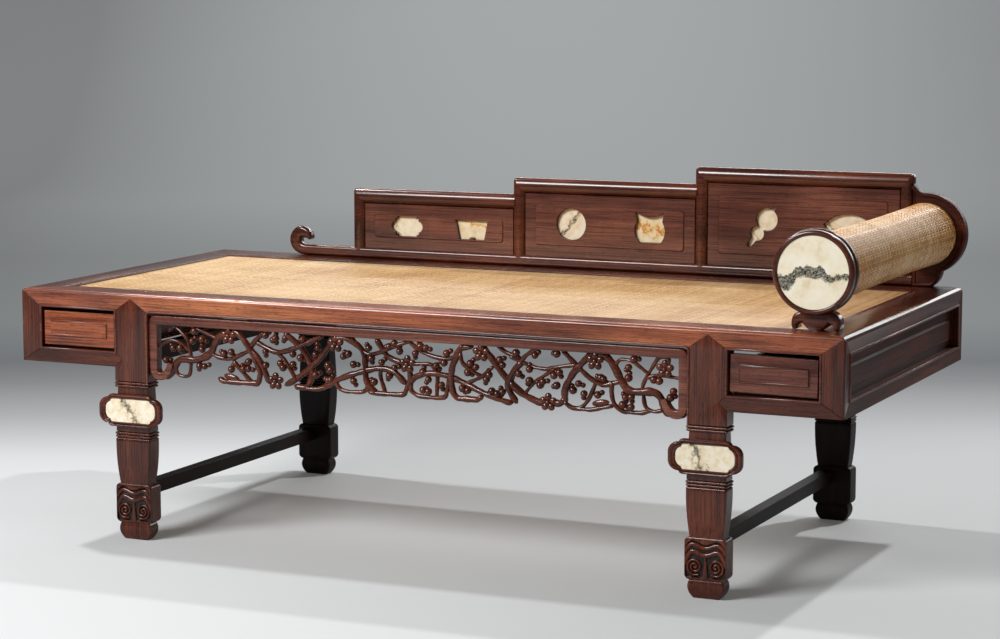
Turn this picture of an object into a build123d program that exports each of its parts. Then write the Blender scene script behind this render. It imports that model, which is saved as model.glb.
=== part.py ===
"""Luohan daybed: a cane seat on two end boxes with drawers, a stepped back rail and a cane bolster.

x runs along the seat from its left end, y from the front face to the back, z up from the floor.
Every piece is made in those coordinates. One move at the end puts the origin on the floor,
under the middle of the whole daybed. All sizes are in millimetres.
"""
from build123d import *

import os

# Seat: four mitred rails round a woven mat
SEAT_LENGTH = 1810
SEAT_DEPTH = 832
SEAT_HEIGHT = 520
RAIL_HEIGHT = 38
END_RAIL_WIDTH = 72
FRONT_RAIL_WIDTH = 62
REAR_RAIL_WIDTH = 97
LEDGE_WIDTH = 22
MAT_THICKNESS = 4
MAT_PLAY = 1
STRIP_WIDTH = 10
STRIP_THICKNESS = 3
BATTEN_COUNT = 3
BATTEN_WIDTH = 34
BATTEN_HEIGHT = 24
BATTEN_HOUSING = 12
MAT_SAG_ROOM = 5
FRONT_ROUND = 7
END_ROUND = 12
CORNER_ROUND = 4

# End boxes under the seat
BOX_HEIGHT = 155
POST_WIDTH = 50
POST_DEPTH = 33
BOTTOM_RAIL_HEIGHT = 32
TONGUE_LENGTH = 18
SIDE_RAIL_WIDTH = 27
SIDE_RAIL_HEIGHT = 35
PANEL_THICKNESS = 14
END_PANEL_RECESS = 16
REAR_PANEL_RECESS = 8
END_FIELD_RISE = 4
END_FIELD_SIDE_MARGIN = 26
END_FIELD_TOP_MARGIN = 25
END_FIELD_BOTTOM_MARGIN = 15
FIELD_TAPER = 30
BEARER_WIDTH = 30
BEARER_HEIGHT = 20
BEARER_FIRST = 150
BEARER_SECOND = 400

# Drawers
DRAWER_FRONT_WIDTH = 172
DRAWER_FRONT_HEIGHT = 71.5
DRAWER_FRONT_THICKNESS = 18
DRAWER_BOTTOM_GAP = 5.5
DRAWER_RECESS = 1.5
DRAWER_FIELD_RISE = 3
DRAWER_FIELD_SIDE_MARGIN = 17.5
DRAWER_FIELD_TOP_MARGIN = 20
FIELD_CORNER = 5
DRAWER_PLAY = 6
DRAWER_LIFT = 0.3
DRAWER_DEPTH = 412
DRAWER_WALL = 10
DRAWER_BOTTOM_THICKNESS = 5
DRAWER_WALL_HEIGHT = 53
RIGHT_FRONT_TILT = 0.9

# Legs: planks with ring beads, a tapering shank, a block and a rolled foot
LEG_FROM_END = 229.25
LEG_WIDTH = 80.5
LEG_THICKNESS = 38
LEG_HEAD_RISE = 27.5
LEG_HEAD_THICKNESS = 14
LEG_TENON_WIDTH = 44
LEG_TENON_THICKNESS = 12
LEG_TENON_HEIGHT = 18
UPPER_RING_HEIGHT = 330
LOWER_RING_HEIGHT = 224
RING_HEIGHT = 6
RING_PROUD = 2
SHANK_INSET_FRONT = 6.25
SHANK_INSET_SIDE = 2.5
SHANK_SWELL = 1.5
BLOCK_TOP = 119
BLOCK_PROUD = 2
BLOCK_ROUND = 6
FOOT_HEIGHT = 36
SOLE_INSET_FRONT = 12.75
SOLE_INSET_SIDE = 5
FOOT_BULGE_FRONT = 5.75
FOOT_BULGE_SIDE = 2.75

# Marble plaques on the front legs
PLAQUE_WIDTH = 150
PLAQUE_HEIGHT = 68
PLAQUE_LOBE_REACH = 22
PLAQUE_STEP = 6.5
PLAQUE_LOBE_ROUND = 20
PLAQUE_BODY_ROUND = 8
PLAQUE_THICKNESS = 12
PLAQUE_END_RIM = 15
PLAQUE_SIDE_RIM = 9
WINDOW_LOBE_REACH = 12
WINDOW_STEP = 5
WINDOW_LOBE_ROUND = 16
WINDOW_BODY_ROUND = 5
PLAQUE_RISE = 51
MARBLE_THICKNESS = 4
MARBLE_RECESS = 4
MARBLE_PLAY = 0.3

# Stretchers and aprons
STRETCHER_WIDTH = 27
STRETCHER_HEIGHT = 28
STRETCHER_RISE = 83
APRON_THICKNESS = 20
APRON_RECESS = 5
APRON_BOTTOM = 342
APRON_TOP_GAP = 4
APRON_TONGUE_THICKNESS = 8
APRON_TONGUE_HEIGHT = 8
APRON_STILE_WIDTH = 20
APRON_RAIL_HEIGHT = 19.5
APRON_CORNER = 12
APRON_INNER_CORNER = 6
APRON_BRANCH_WIDTH = 9
APRON_BRANCH_THICKNESS = 15
APRON_BRANCH_SETBACK = 2
REAR_APRON_HEIGHT = 42

# Back rail: a frame with four posts in three steps, set on the rear seat rail
BACK_THICKNESS = 24
BACK_FROM_REAR = 8
BACK_BASE_HEIGHT = 25
BACK_RAIL_HEIGHT = 35
BACK_POST_WIDTH = 31
BACK_ROUND = 7
BACK_FROM_RIGHT_END = 104
BACK_LOW_SHARE = 0.31
BACK_MIDDLE_SHARE = 0.335
BACK_LOW_TOP = 162
BACK_MIDDLE_TOP = 200
BACK_HIGH_TOP = 238
BACK_PANEL_RECESS = 7
BACK_PANEL_THICKNESS = 16
BACK_FIELD_RISE = 1.5
BACK_FIELD_MARGIN = 24
INSET_DEPTH = 11

# Marble shapes in the back panels, placed by their share of the panel's width and above the base rail
CARTOUCHE_SHARE = 0.289
CARTOUCHE_Z = 52
CARTOUCHE_WIDTH = 80
CARTOUCHE_BODY = 50
CARTOUCHE_HEIGHT = 47
CARTOUCHE_STEP = 5
CARTOUCHE_LOBE = 13
TRAPEZIUM_SHARE = 0.726
TRAPEZIUM_Z = 50.5
TRAPEZIUM_TOP = 82
TRAPEZIUM_FOOT = 63
TRAPEZIUM_HEIGHT = 45
TRAPEZIUM_NOTCH = 5
ROUND_SHARE = 0.276
ROUND_Z = 74
ROUND_RADIUS = 36
VASE_SHARE = 0.74
VASE_Z = 74.5
VASE_LIP = 68
VASE_NECK = 60
VASE_BELLY = 72
VASE_FOOT = 50
VASE_HEIGHT = 69
VASE_DISH = 12
VASE_NECK_DROP = 22
VASE_BELLY_RISE = 24
GOURD_SHARE = 0.314
GOURD_Z = 103
GOURD_UPPER = 25
GOURD_LOWER = 16
GOURD_SPACING = 38
GOURD_STALK = 20
GOURD_STALK_WIDTH = 14
GOURD_TIP = 12
GOURD_TIP_WIDTH = 12
GOURD_LEAN = 55
FAN_SHARE = 0.74
FAN_Z = 98
FAN_WIDTH = 110
FAN_ARCH = 24
FAN_DROP = 58
FAN_FOOT = 14
FAN_WAIST = 34

# Scroll at the left end of the base rail, and the pins under it
SCROLL_FROM_END = 202
SCROLL_TO_POST = 168
SCROLL_HEIGHT = 68
SCROLL_STROKE = 30
SCROLL_OUTER_ROUND = 40
SCROLL_INNER_ROUND = 12
SCROLL_NOSE = 28
SCROLL_BROW = 20
SCROLL_DROP = 31
SCROLL_TIP = 12
PIN_COUNT = 4
PIN_WIDTH = 36
PIN_THICKNESS = 10
PIN_HEIGHT = 30

# Bolster at the right end
BOLSTER_FROM_END = 76
BOLSTER_RISE = 112
BOLSTER_FRONT = 31
RING_DEPTH = 35
RING_ROLL_DEPTH = 20
RING_ROLL_RADIUS = 79.5
RING_BEAD_RADIUS = 81
RING_GROOVE = 3
RING_WEB_RADIUS = 56
RING_ROLL_ROUND = 4.5
DISC_RADIUS = 69.5
DISC_RECESS = 3
DISC_THICKNESS = 6
TUBE_FRONT_RADIUS = 69
TUBE_WAIST_RADIUS = 63.5
TUBE_REAR_RADIUS = 67
TUBE_WALL = 4
SPINDLE_RADIUS = 12
HOOP_THICKNESS = 12
HOOP_COUNT = 4
BOLSTER_PLAY = 0.3
CRADLE_FROM_FRONT = 20
CRADLE_THICKNESS = 35
CRADLE_WIDTH = 92
CRADLE_HEIGHT = 38
CRADLE_SHOULDER = 12
CRADLE_TOE = 6
CRADLE_ARCH_WIDTH = 15
CRADLE_ARCH_HEIGHT = 20
CRADLE_LOBE_WIDTH = 18
WING_RADIUS = 87
WING_CUSP_RISE = 217
WING_FOOT_WIDTH = 42
WING_SHOULDER = 14
WING_WAIST = 14
WING_ANKLE = 36

# Heights and places that follow
RAIL_BOTTOM = SEAT_HEIGHT - RAIL_HEIGHT
BOX_BOTTOM = SEAT_HEIGHT - BOX_HEIGHT
BOX_FLOOR = BOX_BOTTOM + BOTTOM_RAIL_HEIGHT
LEDGE_TOP = SEAT_HEIGHT - STRIP_THICKNESS - MAT_THICKNESS
LEG_X = LEG_FROM_END + LEG_WIDTH / 2
LEG_Y = LEG_THICKNESS / 2
INNER_EDGE = LEG_FROM_END + LEG_WIDTH
BACK_FRONT = SEAT_DEPTH - BACK_FROM_REAR - BACK_THICKNESS
BACK_BASE_TOP = SEAT_HEIGHT + BACK_BASE_HEIGHT
BACK_LEFT = SCROLL_FROM_END + SCROLL_TO_POST
BACK_RIGHT = SEAT_LENGTH - BACK_FROM_RIGHT_END
PANELS_WIDTH = BACK_RIGHT - BACK_LEFT - 4 * BACK_POST_WIDTH
LOW_POST = BACK_LEFT
MIDDLE_POST = LOW_POST + BACK_POST_WIDTH + BACK_LOW_SHARE * PANELS_WIDTH
HIGH_POST = MIDDLE_POST + BACK_POST_WIDTH + BACK_MIDDLE_SHARE * PANELS_WIDTH
LAST_POST = BACK_RIGHT - BACK_POST_WIDTH
LOW_TOP = SEAT_HEIGHT + BACK_LOW_TOP
MIDDLE_TOP = SEAT_HEIGHT + BACK_MIDDLE_TOP
HIGH_TOP = SEAT_HEIGHT + BACK_HIGH_TOP
BOLSTER_X = SEAT_LENGTH - BOLSTER_FROM_END
BOLSTER_Z = SEAT_HEIGHT + BOLSTER_RISE
TUBE_START = BOLSTER_FRONT + RING_DEPTH

pieces = {}


# ---------------------------------------------------------------- solids from faces
def block(x, y, z):
    """Box between the (low, high) pairs x, y and z."""
    sizes = (x[1] - x[0], y[1] - y[0], z[1] - z[0])
    return Pos(x[0], y[0], z[0]) * Box(*sizes, align=(Align.MIN, Align.MIN, Align.MIN))


def outline(*points):
    """Face with straight sides through the points."""
    return make_face(Polyline(*points, close=True))


def span_face(across, up):
    """Rectangle between the (low, high) pairs."""
    middle = Pos((across[0] + across[1]) / 2, (up[0] + up[1]) / 2)
    return middle * Rectangle(across[1] - across[0], up[1] - up[0])


def front_plate(face, y):
    """Face drawn in x and z, carried along y."""
    return Pos(0, y[0], 0) * extrude(Plane.XZ * face, amount=y[1] - y[0], dir=(0, 1, 0))


def side_plate(face, x):
    """Face drawn in y and z, carried along x."""
    return Pos(x[0], 0, 0) * extrude(Plane.YZ * face, amount=x[1] - x[0], dir=(1, 0, 0))


def plan_plate(face, z):
    """Face drawn in x and y, carried up."""
    return Pos(0, 0, z[0]) * extrude(face, amount=z[1] - z[0], dir=(0, 0, 1))


def raised_field(plane, width, height, rise, corner):
    """Low field with bevelled sides and rounded corners, standing on a plane."""
    return extrude(plane * RectangleRounded(width, height, corner), amount=rise, taper=FIELD_TAPER)


def turned(profile):
    """Profile drawn as y and radius, turned about the bolster's axis."""
    placed = Plane(origin=(BOLSTER_X, 0, BOLSTER_Z), x_dir=(0, 1, 0), z_dir=(1, 0, 0)) * profile
    return revolve(placed, Axis((BOLSTER_X, 0, BOLSTER_Z), (0, 1, 0)), 360)


def other_end(piece):
    """The same piece at the right end."""
    return mirror(piece, about=Plane.YZ.offset(SEAT_LENGTH / 2))


def other_side(piece):
    """The same piece at the back."""
    return mirror(piece, about=Plane.XZ.offset(-SEAT_DEPTH / 2))


def group(*solids):
    """Separate solids that share a node."""
    return Compound(children=list(solids))


# ---------------------------------------------------------------- outer form of the case
def case_envelope():
    """Block of the whole case with its outer edges rounded."""
    z = (BOX_BOTTOM, SEAT_HEIGHT)
    long_face = span_face((0, SEAT_LENGTH), z)
    long_face = fillet(long_face.vertices().sort_by(Axis.Y)[-2:], END_ROUND)
    cross_face = span_face((0, SEAT_DEPTH), z)
    cross_face = fillet(cross_face.vertices().sort_by(Axis.Y)[-2:], FRONT_ROUND)
    plan_face = span_face((0, SEAT_LENGTH), (0, SEAT_DEPTH))
    plan_face = fillet(plan_face.vertices(), CORNER_ROUND)
    form = front_plate(long_face, (0, SEAT_DEPTH)) & side_plate(cross_face, (0, SEAT_LENGTH))
    return form & plan_plate(plan_face, z)


# ---------------------------------------------------------------- legs
def leg_face(half, shank_inset, sole_inset, foot_bulge):
    """Outline of a leg below the seat, half a width each side of its middle."""
    sole = half - sole_inset
    ankle = half - shank_inset
    roll = (sole + ankle) / 2 + foot_bulge
    foot = make_face(
        Line((-sole, 0), (sole, 0))
        + ThreePointArc((sole, 0), (roll, FOOT_HEIGHT / 2), (ankle, FOOT_HEIGHT))
        + Line((ankle, FOOT_HEIGHT), (-ankle, FOOT_HEIGHT))
        + ThreePointArc((-ankle, FOOT_HEIGHT), (-roll, FOOT_HEIGHT / 2), (-sole, 0))
    )
    block_middle = (FOOT_HEIGHT + BLOCK_TOP) / 2
    carved_block = Pos(0, block_middle) * RectangleRounded(
        2 * (half + BLOCK_PROUD), BLOCK_TOP - FOOT_HEIGHT, BLOCK_ROUND
    )
    bend = (half + ankle) / 2 + SHANK_SWELL
    bend_height = (BLOCK_TOP + LOWER_RING_HEIGHT) / 2
    shank = make_face(
        Line((-ankle, block_middle), (ankle, block_middle))
        + Line((ankle, block_middle), (ankle, BLOCK_TOP))
        + ThreePointArc((ankle, BLOCK_TOP), (bend, bend_height), (half, LOWER_RING_HEIGHT))
        + Line((half, LOWER_RING_HEIGHT), (-half, LOWER_RING_HEIGHT))
        + ThreePointArc((-half, LOWER_RING_HEIGHT), (-bend, bend_height), (-ankle, BLOCK_TOP))
        + Line((-ankle, BLOCK_TOP), (-ankle, block_middle))
    )
    shaft = span_face((-half, half), (LOWER_RING_HEIGHT, RAIL_BOTTOM))
    face = foot + carved_block + shank + shaft
    for height in (LOWER_RING_HEIGHT, UPPER_RING_HEIGHT):
        ring = SlotOverall(2 * (half + RING_PROUD), RING_HEIGHT)
        face += Pos(0, height) * ring
    return face


def leg_blank():
    """Front left leg with its pointed head and tenon, before it is notched for the bottom rail."""
    front = leg_face(LEG_WIDTH / 2, SHANK_INSET_FRONT, SOLE_INSET_FRONT, FOOT_BULGE_FRONT)
    side = leg_face(LEG_THICKNESS / 2, SHANK_INSET_SIDE, SOLE_INSET_SIDE, FOOT_BULGE_SIDE)
    reach = LEG_WIDTH
    shape = front_plate(Pos(LEG_X, 0) * front, (LEG_Y - reach, LEG_Y + reach))
    shape &= side_plate(Pos(LEG_Y, 0) * side, (LEG_X - reach, LEG_X + reach))
    point = outline(
        (LEG_FROM_END, RAIL_BOTTOM),
        (INNER_EDGE, RAIL_BOTTOM),
        (LEG_X, RAIL_BOTTOM + LEG_HEAD_RISE),
    )
    head = front_plate(point, (0, LEG_HEAD_THICKNESS))
    tenon_start = LEG_THICKNESS - LEG_TENON_THICKNESS - APRON_RECESS
    tenon = block(
        (LEG_X - LEG_TENON_WIDTH / 2, LEG_X + LEG_TENON_WIDTH / 2),
        (tenon_start, tenon_start + LEG_TENON_THICKNESS),
        (RAIL_BOTTOM, RAIL_BOTTOM + LEG_TENON_HEIGHT),
    )
    return shape + head + tenon


# ---------------------------------------------------------------- end boxes
def corner_post():
    """Front left corner post, pointed at both ends where three mitred members meet."""
    rise = BOTTOM_RAIL_HEIGHT
    front = outline(
        (0, BOX_BOTTOM),
        (POST_WIDTH, BOX_BOTTOM + rise),
        (POST_WIDTH, RAIL_BOTTOM),
        (0, SEAT_HEIGHT),
    )
    side = outline(
        (0, BOX_BOTTOM),
        (POST_DEPTH, BOX_BOTTOM + rise),
        (POST_DEPTH, RAIL_BOTTOM),
        (0, SEAT_HEIGHT),
    )
    return front_plate(front, (0, POST_DEPTH)) & side_plate(side, (0, POST_WIDTH))


def front_bottom_rail():
    """Left bottom rail of the front: mitred at the post, a pointed tongue at the leg."""
    plan = outline(
        (0, 0),
        (LEG_FROM_END + TONGUE_LENGTH, 0),
        (LEG_FROM_END + TONGUE_LENGTH, POST_DEPTH),
        (POST_WIDTH, POST_DEPTH),
    )
    face = outline(
        (0, BOX_BOTTOM),
        (LEG_FROM_END, BOX_BOTTOM),
        (LEG_FROM_END + TONGUE_LENGTH, BOX_BOTTOM + BOTTOM_RAIL_HEIGHT / 2),
        (LEG_FROM_END, BOX_FLOOR),
        (0, BOX_FLOOR),
    )
    return plan_plate(plan, (BOX_BOTTOM, BOX_FLOOR)) & front_plate(face, (0, POST_DEPTH))


def end_bottom_rail():
    """Left end bottom rail, mitred at both posts."""
    plan = outline(
        (0, 0),
        (POST_WIDTH, POST_DEPTH),
        (POST_WIDTH, SEAT_DEPTH - POST_DEPTH),
        (0, SEAT_DEPTH),
    )
    return plan_plate(plan, (BOX_BOTTOM, BOX_FLOOR))


def build_end_boxes(envelope, leg):
    """Posts, bottom rails, panels and drawer bearers of both end boxes."""
    post = corner_post()
    rear_post = other_side(post)
    tongue_rail = front_bottom_rail() - post
    end_rail = end_bottom_rail() - post - rear_post
    front_post_piece = post & envelope
    bottom_piece = tongue_rail & envelope
    end_piece = end_rail & envelope
    notched_leg = leg - tongue_rail

    pieces["corner_post_front_left"] = front_post_piece
    pieces["corner_post_front_right"] = other_end(front_post_piece)
    pieces["corner_posts_rear"] = group(
        other_side(front_post_piece), other_end(other_side(front_post_piece))
    )
    pieces["bottom_rail_front_left"] = bottom_piece
    pieces["bottom_rail_front_right"] = other_end(bottom_piece)
    pieces["bottom_rails_rear"] = group(other_side(bottom_piece), other_end(other_side(bottom_piece)))
    pieces["bottom_rail_end_left"] = end_piece
    pieces["bottom_rail_end_right"] = other_end(end_piece)

    pieces["leg_front_left"] = notched_leg
    pieces["leg_front_right"] = other_end(notched_leg)
    pieces["leg_rear_left"] = other_side(notched_leg)
    pieces["leg_rear_right"] = other_end(other_side(notched_leg))

    side_rail = block(
        (LEG_X - SIDE_RAIL_WIDTH, LEG_X),
        (LEG_THICKNESS, SEAT_DEPTH - LEG_THICKNESS),
        (BOX_BOTTOM, BOX_BOTTOM + SIDE_RAIL_HEIGHT),
    )
    pieces["inner_side_rails"] = group(side_rail, other_end(side_rail))

    bearers = []
    for start in (BEARER_FIRST, BEARER_SECOND):
        bearer = block(
            (POST_WIDTH, LEG_X - SIDE_RAIL_WIDTH),
            (start, start + BEARER_WIDTH),
            (BOX_FLOOR - BEARER_HEIGHT, BOX_FLOOR),
        )
        bearers += [bearer, other_end(bearer)]
    pieces["drawer_bearers"] = group(*bearers)

    panel = block(
        (END_PANEL_RECESS, END_PANEL_RECESS + PANEL_THICKNESS),
        (POST_DEPTH, SEAT_DEPTH - POST_DEPTH),
        (BOX_FLOOR, RAIL_BOTTOM),
    )
    field_height = RAIL_BOTTOM - BOX_FLOOR - END_FIELD_TOP_MARGIN - END_FIELD_BOTTOM_MARGIN
    field_plane = Plane(
        origin=(END_PANEL_RECESS, SEAT_DEPTH / 2, BOX_FLOOR + END_FIELD_BOTTOM_MARGIN + field_height / 2),
        x_dir=(0, -1, 0),
        z_dir=(-1, 0, 0),
    )
    field_length = SEAT_DEPTH - 2 * POST_DEPTH - 2 * END_FIELD_SIDE_MARGIN
    panel += raised_field(field_plane, field_length, field_height, END_FIELD_RISE, FIELD_CORNER)
    pieces["end_panel_left"] = panel
    pieces["end_panel_right"] = other_end(panel)

    rear_panel = block(
        (POST_WIDTH, LEG_FROM_END),
        (SEAT_DEPTH - REAR_PANEL_RECESS - PANEL_THICKNESS, SEAT_DEPTH - REAR_PANEL_RECESS),
        (BOX_FLOOR, RAIL_BOTTOM),
    )
    pieces["rear_panels"] = group(rear_panel, other_end(rear_panel))
    return post, notched_leg


# ---------------------------------------------------------------- drawers
def build_drawers():
    """Both drawers: a front with a raised field, two sides, a back and a bottom."""
    middle_x = (POST_WIDTH + LEG_FROM_END) / 2
    bottom = BOX_FLOOR + DRAWER_BOTTOM_GAP
    middle_z = bottom + DRAWER_FRONT_HEIGHT / 2
    face_y = DRAWER_RECESS + DRAWER_FIELD_RISE
    back_y = DRAWER_RECESS + DRAWER_FRONT_THICKNESS
    front = block(
        (middle_x - DRAWER_FRONT_WIDTH / 2, middle_x + DRAWER_FRONT_WIDTH / 2),
        (face_y, back_y),
        (bottom, bottom + DRAWER_FRONT_HEIGHT),
    )
    field_plane = Plane(origin=(middle_x, face_y, middle_z), x_dir=(1, 0, 0), z_dir=(0, -1, 0))
    front += raised_field(
        field_plane,
        DRAWER_FRONT_WIDTH - 2 * DRAWER_FIELD_SIDE_MARGIN,
        DRAWER_FRONT_HEIGHT - 2 * DRAWER_FIELD_TOP_MARGIN,
        DRAWER_FIELD_RISE,
        FIELD_CORNER,
    )
    box_x = (POST_WIDTH + DRAWER_PLAY, LEG_FROM_END - DRAWER_PLAY)
    rear_y = back_y + DRAWER_DEPTH
    floor_z = BOX_FLOOR + DRAWER_LIFT
    wall_z = (floor_z + DRAWER_BOTTOM_THICKNESS, floor_z + DRAWER_BOTTOM_THICKNESS + DRAWER_WALL_HEIGHT)
    board = block(box_x, (back_y, rear_y), (floor_z, floor_z + DRAWER_BOTTOM_THICKNESS))
    outer_side = block((box_x[0], box_x[0] + DRAWER_WALL), (back_y, rear_y), wall_z)
    inner_side = block((box_x[1] - DRAWER_WALL, box_x[1]), (back_y, rear_y), wall_z)
    back = block(
        (box_x[0] + DRAWER_WALL, box_x[1] - DRAWER_WALL), (rear_y - DRAWER_WALL, rear_y), wall_z
    )
    pieces["left_drawer_front"] = front
    pieces["left_drawer_sides"] = group(outer_side, inner_side)
    pieces["left_drawer_back"] = back
    pieces["left_drawer_bottom"] = board
    turn = Axis((SEAT_LENGTH - middle_x, 0, middle_z), (0, 1, 0))
    pieces["right_drawer_front"] = other_end(front).rotate(turn, RIGHT_FRONT_TILT)
    pieces["right_drawer_sides"] = group(other_end(outer_side), other_end(inner_side))
    pieces["right_drawer_back"] = other_end(back)
    pieces["right_drawer_bottom"] = other_end(board)


# ---------------------------------------------------------------- seat
def frame_corners(end, front, rear):
    """Corners of the seat's plan, moved in from its ends, front and back."""
    return [
        (end, front),
        (SEAT_LENGTH - end, front),
        (SEAT_LENGTH - end, SEAT_DEPTH - rear),
        (end, SEAT_DEPTH - rear),
    ]


def inset_corners(inset):
    """Corners of the mat's opening, moved inwards by an inset."""
    return frame_corners(END_RAIL_WIDTH + inset, FRONT_RAIL_WIDTH + inset, REAR_RAIL_WIDTH + inset)


def mitred_side(side, *rings):
    """Plan outline of one side of a frame, mitred from ring to ring."""
    after = (side + 1) % 4
    outward = [ring[side] for ring in reversed(rings)]
    return outline(*outward, *[ring[after] for ring in rings])


def apron_tongue():
    """Tongue along the top of the front apron, let into the seat rail."""
    start = APRON_RECESS + (APRON_THICKNESS - APRON_TONGUE_THICKNESS) / 2
    return block(
        (INNER_EDGE + APRON_CORNER, SEAT_LENGTH - INNER_EDGE - APRON_CORNER),
        (start, start + APRON_TONGUE_THICKNESS),
        (RAIL_BOTTOM - APRON_TOP_GAP, RAIL_BOTTOM + APRON_TONGUE_HEIGHT),
    )


def back_pins():
    """Loose pins that key the back rail to the rear seat rail."""
    middle_y = BACK_FRONT + BACK_THICKNESS / 2
    pitch = (LAST_POST - LOW_POST) / PIN_COUNT
    pins = []
    for index in range(PIN_COUNT):
        middle_x = LOW_POST + (index + 0.5) * pitch
        pins.append(
            block(
                (middle_x - PIN_WIDTH / 2, middle_x + PIN_WIDTH / 2),
                (middle_y - PIN_THICKNESS / 2, middle_y + PIN_THICKNESS / 2),
                (SEAT_HEIGHT - PIN_HEIGHT / 2, SEAT_HEIGHT + PIN_HEIGHT / 2),
            )
        )
    return pins


def build_seat(envelope, post, leg, pins):
    """Rails, mat, strips and battens."""
    outer = frame_corners(0, 0, 0)
    mat_edge = inset_corners(0)
    inner = inset_corners(LEDGE_WIDTH)
    recess = plan_plate(outline(*mat_edge), (LEDGE_TOP, SEAT_HEIGHT))

    clear_y = (FRONT_RAIL_WIDTH + LEDGE_WIDTH, SEAT_DEPTH - REAR_RAIL_WIDTH - LEDGE_WIDTH)
    batten_top = LEDGE_TOP - MAT_SAG_ROOM
    battens = []
    for index in range(BATTEN_COUNT):
        middle_x = SEAT_LENGTH * (index + 1) / (BATTEN_COUNT + 1)
        battens.append(
            block(
                (middle_x - BATTEN_WIDTH / 2, middle_x + BATTEN_WIDTH / 2),
                (clear_y[0] - BATTEN_HOUSING, clear_y[1] + BATTEN_HOUSING),
                (batten_top - BATTEN_HEIGHT, batten_top),
            )
        )

    let_in = [post, other_end(post), other_side(post), other_end(other_side(post))]
    let_in += [leg, other_end(leg), other_side(leg), other_end(other_side(leg))]
    let_in += battens + pins
    let_in += [apron_tongue(), other_side(apron_tongue())]
    names = ("seat_rail_front", "seat_rail_right", "seat_rail_rear", "seat_rail_left")
    for side, name in enumerate(names):
        rail = plan_plate(mitred_side(side, outer, mat_edge, inner), (RAIL_BOTTOM, SEAT_HEIGHT))
        rail &= envelope
        pieces[name] = rail - [recess, *let_in]

    pieces["seat_battens"] = group(*battens)
    pieces["cane_mat"] = plan_plate(
        outline(*inset_corners(MAT_PLAY)), (LEDGE_TOP, LEDGE_TOP + MAT_THICKNESS)
    )
    strip_z = (LEDGE_TOP + MAT_THICKNESS, SEAT_HEIGHT)
    strip_rings = (mat_edge, inset_corners(STRIP_WIDTH))
    strips = [plan_plate(mitred_side(side, *strip_rings), strip_z) for side in range(4)]
    pieces["mat_strips"] = group(*strips)


# ---------------------------------------------------------------- plaques, stretchers and aprons
def lobed(width, height, reach, step, lobe_round, body_round, play=0):
    """Oblong with a lobe at each end: the body stands a step over the lobes and under them."""
    body = RectangleRounded(width - 2 * reach, height - 2 * play, body_round)
    ends = RectangleRounded(width - 2 * play, height - 2 * step - 2 * play, lobe_round - play)
    return body + ends


def build_plaques():
    """Lobed frames with a marble in each, on the collars of the two front legs."""
    middle = Pos(LEG_X, LOWER_RING_HEIGHT + PLAQUE_RISE)
    outer = lobed(
        PLAQUE_WIDTH,
        PLAQUE_HEIGHT,
        PLAQUE_LOBE_REACH,
        PLAQUE_STEP,
        PLAQUE_LOBE_ROUND,
        PLAQUE_BODY_ROUND,
    )
    window_sizes = (
        PLAQUE_WIDTH - 2 * PLAQUE_END_RIM,
        PLAQUE_HEIGHT - 2 * PLAQUE_SIDE_RIM,
        WINDOW_LOBE_REACH,
        WINDOW_STEP,
        WINDOW_LOBE_ROUND,
        WINDOW_BODY_ROUND,
    )
    stone_front = MARBLE_RECESS - PLAQUE_THICKNESS
    stone_back = stone_front + MARBLE_THICKNESS
    frame = front_plate(middle * outer, (-PLAQUE_THICKNESS, 0))
    frame -= front_plate(middle * lobed(*window_sizes), (-PLAQUE_THICKNESS, stone_back))
    marble = front_plate(middle * lobed(*window_sizes, play=MARBLE_PLAY), (stone_front, stone_back))
    pieces["plaque_frame_left"] = frame
    pieces["plaque_frame_right"] = other_end(frame)
    pieces["plaque_marbles"] = group(marble, other_end(marble))


def build_stretchers():
    """One stretcher at each end, from the front leg's block to the rear leg's."""
    block_back = LEG_THICKNESS + BLOCK_PROUD
    y = (block_back, SEAT_DEPTH - block_back)
    z = (STRETCHER_RISE, STRETCHER_RISE + STRETCHER_HEIGHT)
    right_x = SEAT_LENGTH - LEG_X
    pieces["stretcher_left"] = block((LEG_X - STRETCHER_WIDTH, LEG_X), y, z)
    pieces["stretcher_right"] = block((right_x - STRETCHER_WIDTH, right_x), y, z)


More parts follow.
